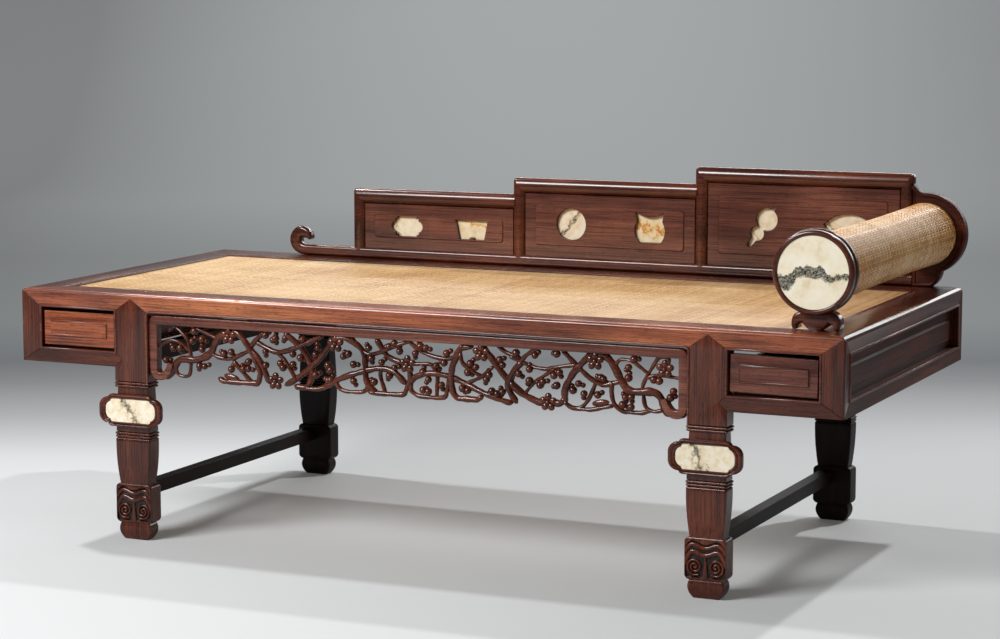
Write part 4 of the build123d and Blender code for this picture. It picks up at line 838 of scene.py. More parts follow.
BUDS = (
    (3, 65), (6, 42), (9, 41), (14, 27), (15, 8), (18, 22), (18, 41), (17, 72), (19, 72), (27, 46),
    (30, 42), (30, 74), (37, 58), (37, 71), (35, 72), (44, 37), (44, 7), (44, 62), (47, 15), (48, 12),
    (52, 10), (50, 57), (55, 38), (55, 57), (51, 64), (59, 10), (58, 44), (65, 24), (64, 36), (64, 73),
    (69, 81), (69, 54), (75, 36), (77, 31), (79, 49), (85, 18), (86, 36), (90, 42), (93, 13), (95, 7),
    (97, 20), (93, 65), (95, 50), (87, 78), (79, 79), (70, 80), (70, 62), (107, 11), (105, 9),
    (103, 22), (115, 18), (114, 35), (111, 41), (106, 54), (108, 67), (106, 86), (108, 88), (113, 75),
    (124, 33), (126, 39), (123, 49), (131, 51), (130, 59), (135, 23), (136, 32), (121, 78), (123, 81),
    (132, 79), (134, 83), (136, 79), (141, 9), (148, 11), (156, 6), (142, 45), (146, 36), (146, 56),
    (151, 56), (150, 62), (157, 38), (155, 44), (156, 61), (164, 55), (162, 67), (166, 72), (171, 72),
    (172, 42), (173, 44), (182, 39), (182, 21), (184, 6), (181, 73), (183, 72), (180, 86), (183, 89),
    (191, 39), (193, 41), (198, 57), (197, 68),
)
BLOSSOMS = ((29, 13), (48, 90), (72, 14), (100, 42), (128, 13), (153, 91), (170, 14), (195, 20))
# the leaves also have a lean in degrees
LEAVES = ((30, 89, -12), (172, 86, 8))

APRON_LEFT = LEG_INNER
APRON_RIGHT = LENGTH - LEG_INNER
APRON_TOP = RAIL_UNDER - 4.0
APRON_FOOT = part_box("apron_front")[0].z / MM
APRON_FRONT = (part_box("apron_front")[0].y - HOME[1]) / MM


def on_apron(across, down):
    """Grid place to x and z."""
    window = APRON_RIGHT - APRON_LEFT - 2 * APRON_STILE
    x = APRON_LEFT + APRON_STILE + window * np.asarray(across) / GRID_ACROSS
    return x, APRON_TOP - APRON_RAIL - BRANCH_DROP * np.asarray(down) / GRID_DOWN


def smooth_line(x, z, step=3.0):
    """A Catmull-Rom curve through the points, with a point about every step in mm."""
    points = np.stack([x, z], axis=1).astype(float)
    ends = np.concatenate([2 * points[:1] - points[1:2], points, 2 * points[-1:] - points[-2:-1]])
    line = []
    for index in range(len(points) - 1):
        a, b, c, d = ends[index : index + 4]
        count = max(3, int(np.hypot(*(c - b)) / step))
        t = np.linspace(0, 1, count, endpoint=False)[:, None]
        line.append(b + 0.5 * t * (c - a + t * (2 * a - 5 * b + 4 * c - d + t * (3 * b - 3 * c + d - a))))
    return np.concatenate([*line, points[-1:]])


def run_along(line):
    """How far each point of a line lies from its start, along it."""
    return np.concatenate([[0], np.cumsum(np.hypot(*np.diff(line, axis=0).T))])


def loft(line, flat, deep):
    """Rings of points about a line in x and z: flat is how far each point lies across the line,
    and deep its y."""
    along = np.gradient(line, axis=0)
    along /= np.hypot(along[:, 0], along[:, 1])[:, None]
    x = line[:, :1] - along[:, 1:] * flat
    z = line[:, 1:] + along[:, :1] * flat
    return np.stack([x, np.broadcast_to(deep, flat.shape), z], axis=-1)


def limb(line, half, thick, middle_y):
    """A round-ended limb that follows a line in x and z: an ellipse at each point, half wide in
    the line's plane and thick/2 deep, shrinking to both ends."""
    run = run_along(line)
    from_end = np.minimum(run, run[-1] - run)
    size = np.sqrt(np.clip((from_end + 0.6) / (half * 1.2), 0, 1))
    angle = np.linspace(0, 2 * math.pi, 10, endpoint=False)
    flat = (half * size)[:, None] * np.cos(angle)
    return loft(line, flat, middle_y[:, None] + (thick / 2 * size)[:, None] * np.sin(angle))


def ball(x, y, z, size_x, size_y, size_z, rings=6, columns=9, lean=0.0):
    """A small ellipsoid as rings of points from pole to pole along y, leaning in x and z."""
    polar = np.linspace(0.12, math.pi - 0.12, rings)
    angle = np.linspace(0, 2 * math.pi, columns, endpoint=False)
    local_x = size_x * np.sin(polar)[:, None] * np.cos(angle)
    local_z = size_z * np.sin(polar)[:, None] * np.sin(angle)
    local_y = np.repeat(-size_y * np.cos(polar)[:, None], columns, axis=1)
    turned_x = local_x * math.cos(lean) - local_z * math.sin(lean)
    turned_z = local_x * math.sin(lean) + local_z * math.cos(lean)
    return np.stack([x + turned_x, y + local_y, z + turned_z], axis=-1)


BRANCH_THICK = 14.0
BRANCH_WIDER = 1.32
BRANCH_SETBACK = 10.5
# each limb runs on a little past its marked ends, into its neighbours
RUN_ON = 4.0
branch_middle = APRON_FRONT + BRANCH_SETBACK
limbs = []
for number, (half, route) in enumerate(BRANCHES):
    line = smooth_line(*on_apron(*np.array(route, float).T))
    first, last = line[0] - line[1], line[-1] - line[-2]
    before = line[:1] + RUN_ON * first / np.hypot(*first)
    after = line[-1:] + RUN_ON * last / np.hypot(*last)
    line = np.concatenate([before, line, after])
    line[:, 1] = np.maximum(line[:, 1], APRON_FOOT + 1.16 * BRANCH_WIDER * half)
    run = run_along(line)
    knots = 1 + 0.09 * np.sin(run / 7.0 + number) + 0.06 * np.sin(run / 3.1 + 2 * number)
    sway = branch_middle + 2.4 * np.sin(run / 24.0 + 1.7 * number)
    thick = min(BRANCH_THICK, 2.2 * half + 3)
    limbs.append((limb(line, BRANCH_WIDER * half * knots, thick, sway), False))
# each bud is a large ball with a small one beside it, each blossom five petals about a button
BUD_SIZE = 8.0
BUD_VARIES = 0.6
SMALL_BUD = 5.8
BUD_APART = 8.5
PETALS = 5
PETAL_OUT = 10.5
PETAL_SIZE = (8.6, 5.0, 7.4)
BUTTON_SIZE = (5.2, 4.4, 5.2)
LEAF_SIZE = (19.0, 4.5, 7.5)
twigs = []
for number, (across, down) in enumerate(BUDS):
    x, z = on_apron(across, down)
    size = BUD_SIZE + BUD_VARIES * math.sin(3.7 * number)
    lean = 2.4 * number
    twigs.append((ball(x, branch_middle - 3.0, z, size, size, size), False))
    x, z = x + BUD_APART * math.cos(lean), z + BUD_APART * math.sin(lean)
    twigs.append((ball(x, branch_middle + 1.0, z, SMALL_BUD, SMALL_BUD, SMALL_BUD, 5, 8), False))
for across, down in BLOSSOMS:
    x, z = on_apron(across, down)
    for petal in range(PETALS):
        angle = petal * 2 * math.pi / PETALS + 0.3
        petal_x, petal_z = x + PETAL_OUT * math.cos(angle), z + PETAL_OUT * math.sin(angle)
        twigs.append((ball(petal_x, branch_middle - 4.0, petal_z, *PETAL_SIZE, 6, 10, angle), False))
    twigs.append((ball(x, branch_middle - 7.0, z, *BUTTON_SIZE), False))
for across, down, lean in LEAVES:
    x, z = on_apron(across, down)
    twigs.append((ball(x, branch_middle - 2.0, z, *LEAF_SIZE, 6, 12, math.radians(lean)), False))
for name, shells in (("apron_branches", limbs), ("apron_buds", twigs)):
    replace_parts(put(shell_mesh(name, shells), WOOD["russet", "x"], crease=60), "apron_front")


def bar(line, half, front, back, edge, steps=4):
    """A bar with rounded edges that follows a line in x and z: a rounded rectangle at each point,
    half wide each side of the line, from its front to its back in y."""
    half = np.broadcast_to(half, line.shape[:1])[:, None]
    edge = np.minimum(edge, 0.92 * half)
    quarter = np.linspace(0, math.pi / 2, steps)
    turn = np.concatenate([quarter + k * math.pi / 2 for k in range(4)])
    sign_a = np.repeat([1, -1, -1, 1], steps)
    sign_b = np.repeat([1, 1, -1, -1], steps)
    flat = sign_a * (half - edge) + edge * np.cos(turn)
    deep = (front + back) / 2 + sign_b * ((back - front) / 2 - edge) + edge * np.sin(turn)
    return loft(line, flat, deep)


def stile_and_rail():
    """Middle line of the frame's left half and its half width: a hooked foot, the stile, a
    rounded corner and the rail to the middle of the apron."""
    stile_x = APRON_LEFT + APRON_STILE / 2
    rail_z = APRON_TOP - APRON_RAIL / 2
    turn = np.linspace(0, math.pi / 2, 8)
    hook = ((50, 37), (46, 25), (40, 15.5), (33, 10), (24, 8.5), (16, 11), (11, 20), (10, 34))
    hook_x, hook_z = np.array(hook, float).T
    foot = smooth_line(APRON_LEFT + hook_x, APRON_FOOT + hook_z, 2.0)
    foot[:, 0] += stile_x - foot[-1, 0]
    corner = 8.0
    bend = np.stack([stile_x + corner * (1 - np.cos(turn)), rail_z - corner * (1 - np.sin(turn))], 1)
    rail_x = np.linspace(stile_x + corner, LENGTH / 2, 12)[1:]
    line = np.concatenate([foot, bend, np.stack([rail_x, np.full_like(rail_x, rail_z)], 1)])
    half = np.concatenate([np.linspace(6.4, 9.8, len(foot)), np.full(len(line) - len(foot), APRON_RAIL / 2)])
    return line, half


line, half = stile_and_rail()
mirrored = line[::-1][1:] * np.array([-1, 1]) + np.array([LENGTH, 0])
line = np.concatenate([line, mirrored])
half = np.concatenate([half, half[::-1][1:]])
frame_bar = bar(line, half, APRON_FRONT, APRON_FRONT + APRON_THICK, 2.5)
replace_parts(put(shell_mesh("apron_frame", [(frame_bar, False)]), WOOD["rose", "x"]), "apron_front")


# ------------------------------------------------------------------ back rail
# A stepped frame of mitred members with rounded fronts, on a base rail whose left end is carved
# into a scroll. The panels have a low raised field and pockets cut for the marbles.
BACK_FRONT, BACK_REAR = (corner[1] for corner in box_mm("back_base_rail"))
FRAME_ROUND = 14.5
FRAME_REAR_ROUND = 3.0
FRAME_CORNER = 0.45


def frame_mesh(name, members):
    """Members joined end to end by mitres. A member is its first middle point, x and z, its
    direction and its half width. Offset t from -1 to 1 lies at the middle + t * half * side of
    both members at a mitre; beyond FRAME_CORNER, on the outer side, it turns about that point."""
    front, back, edge, rear_edge = BACK_FRONT, BACK_REAR, FRAME_ROUND, FRAME_REAR_ROUND
    quarter = np.linspace(0, math.pi / 2, 7)
    mean = np.mean([half for _, _, half in members[:-1]])
    corners = ((1, back, 0, rear_edge), (-1, back, 1, rear_edge), (-1, front, 2, edge), (1, front, 3, edge))
    offset, deep = [], []
    for side, y, number, radius in corners:
        angle = quarter + number * math.pi / 2
        middle_u, middle_y = side * (mean - radius), y + (radius if y == front else -radius)
        offset += (middle_u + radius * np.cos(angle)).tolist()
        deep += (middle_y + radius * np.sin(angle)).tolist()
    t, deep = np.array(offset) / mean, np.array(deep)
    rows = []
    for number, (at, heading, half) in enumerate(members):
        at, heading = np.array(at, float), np.array(heading, float)
        side = half * np.array([-heading[1], heading[0]])
        if number == 0 or number == len(members) - 1:
            rows.append(at + t[:, None] * side)
            continue
        _, was, was_half = members[number - 1]
        was_side = was_half * np.array([-was[1], was[0]])
        left_turn = was[0] * heading[1] - was[1] * heading[0] > 0
        outer = -1 if left_turn else 1
        pivot = np.where(t * outer > FRAME_CORNER, outer * FRAME_CORNER, t)
        for angle in np.linspace(0, math.pi / 2, 6):
            fan = np.cos(angle) * was_side + np.sin(angle) * side
            rows.append(at + pivot[:, None] * (was_side + side) + (t - pivot)[:, None] * fan)
    flat = np.array(rows)
    y = np.broadcast_to(deep, flat.shape[:2])
    return shell_mesh(name, [(np.stack([flat[..., 0], y, flat[..., 1]], -1), False)])


# how far a member runs on into the piece at its end
JOINT = 6.0
UP, RIGHT, DOWN = (0, 1), (1, 0), (0, -1)
for name, posts, top_rail in (
    ("low", ("back_post_first", "back_post_second"), "back_rail_low"),
    ("middle", ("back_post_second", "back_post_third"), "back_rail_middle"),
    ("high", ("back_post_third", "back_post_fourth"), "back_rail_high"),
):
    (left_low, left_high), (right_low, _) = (box_mm(post) for post in posts)
    rail_low, rail_high = box_mm(top_rail)
    post_half = (left_high[0] - left_low[0]) / 2
    rail_half = (rail_high[2] - rail_low[2]) / 2
    post_x, rail_z = left_low[0] + post_half, rail_low[2] + rail_half
    members = [((post_x, left_low[2] - JOINT), UP, post_half), ((post_x, rail_z), RIGHT, rail_half)]
    replaced = [posts[0], top_rail]
    if name == "high":
        end_x = right_low[0] + post_half
        members += [((end_x, rail_z), DOWN, post_half), ((end_x, left_low[2] - JOINT), DOWN, post_half)]
        replaced.append(posts[1])
    else:
        members.append(((right_low[0] + JOINT, rail_z), RIGHT, rail_half))
    mesh = frame_mesh("back_frame_" + name, members)
    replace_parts(put(mesh, WOOD["russet", "x"], crease=50), *replaced)


def moved_in(line, inset):
    """An anticlockwise outline moved in by a distance along its mitres, out if it is below 0."""
    ahead = np.roll(line, -1, axis=0) - line
    ahead /= np.linalg.norm(ahead, axis=1)[:, None]
    behind = np.roll(ahead, 1, axis=0)
    inner = np.stack([-ahead[:, 1], ahead[:, 0]], 1)
    mitre = inner + np.stack([-behind[:, 1], behind[:, 0]], 1)
    mitre /= np.maximum((mitre * inner).sum(axis=1), 0.35)[:, None]
    return line + inset * mitre


def level(line, y):
    """An outline at one y."""
    return np.stack([line[:, 0], np.full(len(line), y), line[:, 1]], 1)


def rounded_outline(left, right, low, high, corner, steps=5):
    """Anticlockwise rounded rectangle."""
    turn = np.linspace(0, math.pi / 2, steps)
    line = []
    for number, (x, z) in enumerate(((right, high), (left, high), (left, low), (right, low))):
        x += corner if x == left else -corner
        z += corner if z == low else -corner
        angle = turn + number * math.pi / 2
        line.append(np.stack([x + corner * np.cos(angle), z + corner * np.sin(angle)], 1))
    return np.concatenate(line)


def board_mesh(name, sheets, walls):
    """A closed board. A sheet is a flat face: an outline followed by the outlines of its holes,
    each an array (points, 3), cut into triangles. A wall joins two outlines of equal length."""
    points, faces, start = [], [], 0
    for loops in sheets:
        flat = [[Vector(point) for point in loop] for loop in loops]
        faces += [[start + i for i in triangle] for triangle in tessellate_polygon(flat)]
        points += [point for loop in loops for point in loop.tolist()]
        start = len(points)
    for first, second in walls:
        count = len(first)
        index = np.arange(count)
        after = (index + 1) % count
        ring = np.stack([index, after, after + count, index + count], 1) + start
        faces += ring.tolist()
        points += first.tolist() + second.tolist()
        start = len(points)
    return closed_mesh(name, points, faces, weld=True)


PANEL_FACE = BACK_FRONT + 7.0
PANEL_BACK = PANEL_FACE + 16.0
PANEL_CORNER = 0.01
FIELD_MARGIN = 24.0
FIELD_CORNER = 8.0
FIELD_RISE = 2.6
FIELD_SLOPE = 2.4
POCKET_DEPTH = 11.0
POCKET_PLAY = 0.25
POCKET_BEVEL = 0.5
# the pockets' walls get painted shade from 1 mm down, darker deeper in; the panel's back gets none
SHADE_FROM = 1.0
SHADE_FULL = 8.0
SHADE_END = 15
for name in ("low", "middle", "high"):
    (left, _, floor), (right, _, top) = box_mm("back_panel_" + name)
    edge = rounded_outline(left, right, floor, top, PANEL_CORNER)
    field = rounded_outline(
        left + FIELD_MARGIN, right - FIELD_MARGIN, floor + FIELD_MARGIN, top - FIELD_MARGIN, FIELD_CORNER, 8
    )
    raised = PANEL_FACE - FIELD_RISE
    crown = level(moved_in(field, FIELD_SLOPE), raised)
    sheets = [[level(edge, PANEL_FACE), level(field, PANEL_FACE)], [level(edge, PANEL_BACK)]]
    walls = [(level(edge, PANEL_FACE), level(edge, PANEL_BACK)), (level(field, PANEL_FACE), crown)]
    mouths = []
    for outline in front_outlines("inset_marbles_" + name):
        pocket = moved_in(anticlockwise(outline), -POCKET_PLAY)
        mouth = level(moved_in(pocket, -POCKET_BEVEL), raised)
        lip = level(pocket, raised + POCKET_BEVEL)
        back = level(pocket, PANEL_FACE + POCKET_DEPTH)
        mouths.append(mouth)
        walls += [(mouth, lip), (lip, back)]
        sheets.append([back])
    sheets.append([crown, *mouths])
    mesh = board_mesh("back_panel_" + name + "_cut", sheets, walls)
    # painted shade: the deeper a point lies behind the field, the darker it is painted
    deep = np.zeros(3 * len(mesh.vertices))
    mesh.vertices.foreach_get("co", deep)
    deep = (deep[1::3] - HOME[1]) / MM - raised
    set_hollow_shade(mesh, np.clip((deep - SHADE_FROM) / SHADE_FULL, 0, 0.9) * (deep < SHADE_END))
    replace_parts(put(mesh, WOOD["rose", "x"], crease=20), "back_panel_" + name)


def widths_along(line, shape):
    """Half width at each point of a line through a shape, rows of x, z and half width."""
    run = run_along(line)
    marks = [run[np.hypot(*(line - (x, z)).T).argmin()] for x, z, _ in shape]
    return np.interp(run, marks, shape[:, 2])


# The base rail is one length whose left end curls up into a plump scroll. Its middle line, in mm
# from its left end and the seat, and its half width there. The last run is straight
base_low, base_high = box_mm("back_base_rail")
BASE_HALF = (box_mm("back_post_first")[0][2] - SEAT) / 2
BASE_EDGE = 8.0
SCROLL = (
    (52, 37, 2.0), (52.5, 41, 6.5), (48, 47.5, 10.5), (40, 52, 13.0), (29, 53.5, 14.2), (20, 47.5, 14.6),
    (15.5, 38, 14.9), (17, 26, 14.6), (26, 16.5, 13.6), (40, 13.0, 12.7), (60, BASE_HALF, BASE_HALF),
    (100, BASE_HALF, BASE_HALF), (base_high[0] - base_low[0], BASE_HALF, BASE_HALF),
)
scroll = np.array(SCROLL, float) + (base_low[0], SEAT, 0)
line = np.concatenate([smooth_line(*scroll[:-1, :2].T, 2.5), scroll[-1:, :2]])
rail = bar(line, widths_along(line, scroll), BACK_FRONT, BACK_REAR, BASE_EDGE, 7)
mesh = shell_mesh("back_base_rail_scrolled", [(rail, False)])
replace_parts(put(mesh, WOOD["russet", "x"], crease=50), "back_base_rail")


# ------------------------------------------------------------------ marbles
# Slips of veined white marble, sawn thin, rubbed smooth and bedded in the plaques, the panels
# and the bolster's end. Their clouds and veins are the stone's own.
CLOUD_SIZE = 14.0
VEIN_GRIT = 0.5


def marble(name, stops, at, lean, width, wander):
    """Polished marble with one band of smoke in it. The eye sees a cream ground with faint
    clouds, and a dark vein whose edges break up. The band passes through at, x and z in mm,
    leans by lean degrees off the upright, and is width mm to each side. It wanders by wander
    times its width. stops run from clear stone to vein."""
    material, shader = new_material(name, Roughness=0.22, Specular_IOR_Level=0.45, Coat_Weight=0.1)
    turn, scale = math.radians(lean), 1 / (width * MM)
    x, z = (at[0] * MM + HOME[0]) * scale, at[1] * MM * scale
    back = (-(math.cos(turn) * x + math.sin(turn) * z), 0, math.sin(turn) * x - math.cos(turn) * z)
    place = add(material, "TexCoord").outputs["Object"]
    local = add(material, "Mapping", (place, back, (0, turn, 0), [scale] * 3))
    cloud = {"Vector": place, "Scale": 1 / (CLOUD_SIZE * MM), "Detail": 5.0, "Roughness": 0.6}
    broad = add(material, "TexNoise", cloud)
    grain = {"Vector": local, "Scale": 2.2, "Detail": 7.0, "Roughness": 0.75, "Distortion": 0.8}
    fine = add(material, "TexNoise", grain)
    aside = add(material, "SeparateXYZ", (local,)).outputs["X"]
    swing = add(material, "MapRange", (broad, 0.25, 0.75, -wander, wander))
    across = add(material, "Math", (aside, swing), operation="ADD")
    away = add(material, "Math", (across,), operation="ABSOLUTE")
    broken = add(material, "MapRange", (fine, 0.25, 0.75, -VEIN_GRIT, VEIN_GRIT))
    depth = add(material, "Math", (broken, away), operation="SUBTRACT")
    amount = add(material, "MapRange", (depth, -1.2, 0.4, 0.0, 1.0))
    stone = add(material, "ValToRGB", (amount,), stops)
    veil = add(material, "ValToRGB", (broad,), [(0.42, "#ffffff"), (0.66, "#f0e6d0")])
    whole = add(material, "MixRGB", (1.0, stone, veil), blend_type="MULTIPLY")
    wire(material, shader, {"Base Color": whole})
    return material


SMOKE = [(0.0, "#f2e8d4"), (0.5, "#ecdfc6"), (0.66, "#a89b84"), (0.8, "#5c574c"), (0.95, "#3c3d36")]
INK = [(0.0, "#f2e8d4"), (0.42, "#ecdfc4"), (0.6, "#b5a387"), (0.74, "#57534a"), (0.9, "#33352f")]
HONEY = [(0.0, "#f0e2c4"), (0.35, "#ecd2a0"), (0.6, "#dfa964"), (0.85, "#b36f34")]
BROWN = [(0.0, "#f1e8d2"), (0.5, "#e9dcbd"), (0.7, "#a98d62"), (0.88, "#5c4c36")]
# node, name, clear stone to vein, where its band runs from the slip's middle, lean, width, wander
STONES = (
    ("inset_marbles_low", "cartouche", BROWN, (-30, -8), 20, 5, 3.0),
    ("inset_marbles_low", "trapezium", HONEY, (8, 14), 78, 6, 2.2),
    ("inset_marbles_middle", "roundel", INK, (-12, -8), -42, 9, 1.1),
    ("inset_marbles_middle", "vase", HONEY, (0, -4), 84, 12, 1.6),
    ("inset_marbles_high", "gourd", BROWN, (-16, -22), 40, 3, 2.6),
    ("inset_marbles_high", "fan", INK, (-44, 14), 35, 12, 1.2),
    ("plaque_marbles", "left", SMOKE, (-4, 4), 34, 22, 0.5),
    ("plaque_marbles", "right", SMOKE, (-14, 2), 16, 26, 0.5),
)
SLIP_BEVEL = 0.5
outlines = {}
for node, name, stops, aside, lean, width, wander in STONES:
    slips = outlines.setdefault(node, front_outlines(node))
    line = anticlockwise(slips.pop(0))
    front, back = (corner[1] for corner in box_mm(node))
    middle = (line.min(axis=0) + line.max(axis=0)) / 2 + aside
    brim = level(moved_in(line, SLIP_BEVEL), front)
    sides, rear = level(line, front + SLIP_BEVEL), level(line, back)
    mesh = board_mesh(node + "_" + name, [[brim], [rear]], [(brim, sides), (sides, rear)])
    stone = marble("veined_marble_" + name, stops, middle, lean, width, wander)
    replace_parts(put(mesh, stone, "bed", 30), node)


# ------------------------------------------------------------------ cane seat
# A mat of split rattan in twill, soaked, drawn over the battens and pinned in the rebate under
# four thin strips. It sags a few millimetres towards its middle.
def woven(name, source, pitch, straw, gap, gloss):
    """Split rattan woven two over and two under, each strand a few millimetres wide, smooth and
    golden outside, with dark gaps between. The gap's colour is painted shade: it fills the gaps
    and darkens each strand where it bows under. source is the coordinates that the strands
    follow: one set runs along the second of them, the other crosses it. pitch is a strand's width
    in mm."""
    material, shader = new_material(name, Specular_IOR_Level=0.4, Roughness=gloss)
    place = add(material, "TexCoord").outputs
    strands = [1 / (pitch * MM)] * 3
    counted = add(material, "VectorMath", (place[source], strands), operation="MULTIPLY")
    cell = add(material, "VectorMath", (counted,), operation="FLOOR")
    inside = add(material, "VectorMath", (counted,), operation="FRACTION")
    centred = add(material, "VectorMath", (inside, (2, 2, 2), (-1, -1, -1)), operation="MULTIPLY_ADD")
    squared = add(material, "VectorMath", (centred, centred), operation="MULTIPLY")
    cells = add(material, "SeparateXYZ", (cell,)).outputs
    bows = add(material, "SeparateXYZ", (squared,)).outputs
    step = add(material, "Math", (cells["X"], cells["Y"]), operation="ADD")
    phase = add(material, "Math", (step, 4.0), operation="FLOORED_MODULO")
    over = add(material, "Math", (phase, 1.5), operation="LESS_THAN")
    bow = add(material, "Mix", {0: over, 2: bows["Y"], 3: bows["X"]})
    crown = add(material, "Math", (1.0, bow), operation="SUBTRACT")
    strand = add(material, "Mix", {0: over, 2: cells["Y"], 3: cells["X"]})
    chance = add(material, "TexWhiteNoise", {"W": strand}, noise_dimensions="1D").outputs["Value"]
    age = {"Vector": place["Object"], "Scale": 5.0, "Detail": 4.0, "Roughness": 0.65}
    tone = add(material, "Math", (chance, 0.45, add(material, "TexNoise", age)), operation="MULTIPLY_ADD")
    tint = add(material, "ValToRGB", (tone,), list(zip((0.4, 0.7, 1.0), straw)))
    # painted shade: the colour goes to the gap's dark where a strand bows down between its neighbours
    shut = add(material, "MapRange", (crown, 0.1, 0.55, 1.0, 0.0))
    cloth = add(material, "MixRGB", (shut, tint, linear(gap)))
    relief = add(material, "Bump", {"Height": crown, "Strength": 0.7, "Distance": 0.0008})
    wire(material, shader, {"Base Color": cloth, "Normal": relief})
    return material


MAT_PITCH = 5.0
MAT_SAG = 3.0
MAT_WAVE = 0.5
low, high = box_mm("cane_mat")
grid_x, grid_y = np.meshgrid(np.linspace(0, 1, 61), np.linspace(0, 1, 31), indexing="ij")
hollow = MAT_SAG * (np.sin(math.pi * grid_x) * np.sin(math.pi * grid_y)) ** 0.5
# slight waves where it has stretched, which end at its pinned edges
hollow += MAT_WAVE * np.sin(grid_x * 41) * np.sin(grid_y * 17) * np.minimum(hollow, 1)
x = low[0] + (high[0] - low[0]) * grid_x
y = low[1] + (high[1] - low[1]) * grid_y
mat_top = np.stack([x, y, high[2] - hollow], -1)
mat_under = np.stack([x, y, low[2] - hollow], -1)
around = np.concatenate([mat_top, mat_under[:, ::-1]], axis=1)
mat_cane = woven("rattan_twill_mat", "Object", MAT_PITCH, ("#b3824c", "#dbae74", "#f1ce9b"), "#53341c", 0.4)
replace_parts(put(shell_mesh("cane_mat_woven", [(around, False)]), mat_cane, "bed", 60), "cane_mat")


# ------------------------------------------------------------------ bolster
# A drum of woven cane on hidden hoops. At the front a turned ring holds a marble disc and rests
# on a carved cloud-shaped foot. The rear end butts against a round-ended wing board.
ring_low, ring_high = box_mm("bolster_ring")
BOLSTER_X = (ring_low[0] + ring_high[0]) / 2
BOLSTER_Z = (ring_low[2] + ring_high[2]) / 2


def turned(profile, columns):
    """A profile of y and radius, turned about the bolster's axis: radius times cosine and sine."""
    profile = np.array(profile, float)
    angle = np.linspace(0, 2 * math.pi, columns, endpoint=False)
    x = BOLSTER_X + profile[:, 1:] * np.cos(angle)
    z = BOLSTER_Z + profile[:, 1:] * np.sin(angle)
    return np.stack([x, np.repeat(profile[:, :1], columns, axis=1), z], -1)


# y and radius from the disc's seat round the roll, the groove and the bead
RING_PROFILE = (
    (40.2, 69.5), (33.2, 69.5), (31.9, 70.4), (31.1, 72.0), (31.0, 74.0), (31.5, 76.2), (32.8, 78.0),
    (34.8, 79.1), (38.0, 79.5), (44.0, 79.5), (47.5, 79.2), (49.4, 78.3), (50.4, 76.9), (51.4, 76.9),
    (52.2, 78.4), (53.6, 79.9), (55.6, 80.8), (58.0, 81.0), (61.0, 80.9), (63.6, 80.0), (65.3, 78.4),
    (66.0, 76.0), (66.0, 56.3), (40.2, 56.3),
)
mesh = shell_mesh("bolster_ring_turned", [(turned(RING_PROFILE, 160), True)])
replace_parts(put(mesh, WOOD["russet", "x"], crease=45), "bolster_ring")

# The drum's strands go round it and along it. Its own map counts the girth and the length
CANE_PITCH = 5.2
DRUM_COLUMNS = 160
DRUM_ROWS = 567
DRUM_WAIST = 63.5
DRUM_FRONT_FLARE = 5.5
DRUM_REAR_FLARE = 3.5
DRUM_INSIDE = 58.0
RIB_DEPTH = 1.6
DRUM_GIRTH_PITCHES = 80
drum_low, drum_high = box_mm("bolster_cane")
drum_y = np.linspace(drum_low[1], drum_high[1], DRUM_ROWS)
share = np.linspace(-1, 1, DRUM_ROWS)
drum_radius = DRUM_WAIST + np.where(share < 0, DRUM_FRONT_FLARE, DRUM_REAR_FLARE) * share**2
# every second crossing strand is a stout one, that lifts the weave into a rib
rib = 2 * CANE_PITCH
drum_radius -= RIB_DEPTH * (1 - np.abs(np.sin(math.pi * drum_y / rib)) ** 0.7)
inner_y = drum_y[::27]
inner = np.stack([inner_y, np.full(len(inner_y), DRUM_INSIDE)], 1)
drum = np.concatenate([np.stack([drum_y, drum_radius], 1), inner[::-1]])
mesh = shell_mesh("bolster_cane_woven", [(turned(drum, DRUM_COLUMNS), True)])
corner_of = np.zeros(len(mesh.loops), int)
mesh.loops.foreach_get("vertex_index", corner_of)
column = (corner_of % DRUM_COLUMNS).reshape(-1, 4)
wraps = (column == 0) & (column.max(axis=1) == DRUM_COLUMNS - 1)[:, None]
column = np.where(wraps, DRUM_COLUMNS, column)
row = (corner_of // DRUM_COLUMNS).reshape(-1, 4)
along = drum[row, 0] * MM
round_it = column * DRUM_GIRTH_PITCHES / DRUM_COLUMNS * CANE_PITCH * MM
chart = mesh.uv_layers.new(name="weave")
chart.data.foreach_set("uv", np.stack([round_it, along], -1).ravel())
drum_cane = woven("rattan_twill_drum", "UV", CANE_PITCH, ("#b0783a", "#dfa45f", "#f6cf96"), "#221105", 0.26)
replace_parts(put(mesh, drum_cane, "bed", 60), "bolster_cane")


def reface(node, material):
    """Gives a CAD node that stays another material."""
    nodes[node].data.materials.clear()
    nodes[node].data.materials.append(material)


reface("bolster_frame", WOOD["dark", "y"])

# The disc, of polished marble: the eye sees cream stone with one dark ridge across it, thinning
# to the right. Its crest and foot are heights across the disc, both from -1 to 1, kept as 0 to 1
DISC_HALF = 69.2
CREST = (
    (0.0, 0.46), (0.1, 0.44), (0.18, 0.47), (0.26, 0.56), (0.34, 0.57), (0.44, 0.6), (0.53, 0.57),
    (0.6, 0.61), (0.68, 0.52), (0.76, 0.46), (0.86, 0.49), (1.0, 0.5),
)
FOOT = (
    (0.0, 0.33), (0.12, 0.24), (0.2, 0.27), (0.28, 0.4), (0.4, 0.43), (0.52, 0.4), (0.64, 0.41),
    (0.74, 0.36), (0.85, 0.4), (1.0, 0.42),
)
disc, shader = new_material(
    "cream_marble_ink_ridge", Roughness=0.2, Specular_IOR_Level=0.45, Coat_Weight=0.1
)
place = add(disc, "TexCoord").outputs["Object"]
centre = (-(BOLSTER_X * MM + HOME[0]) / (DISC_HALF * MM), 0, -BOLSTER_Z / DISC_HALF)
local = add(disc, "Mapping", {0: place, 1: centre, 3: [1 / (DISC_HALF * MM)] * 3})
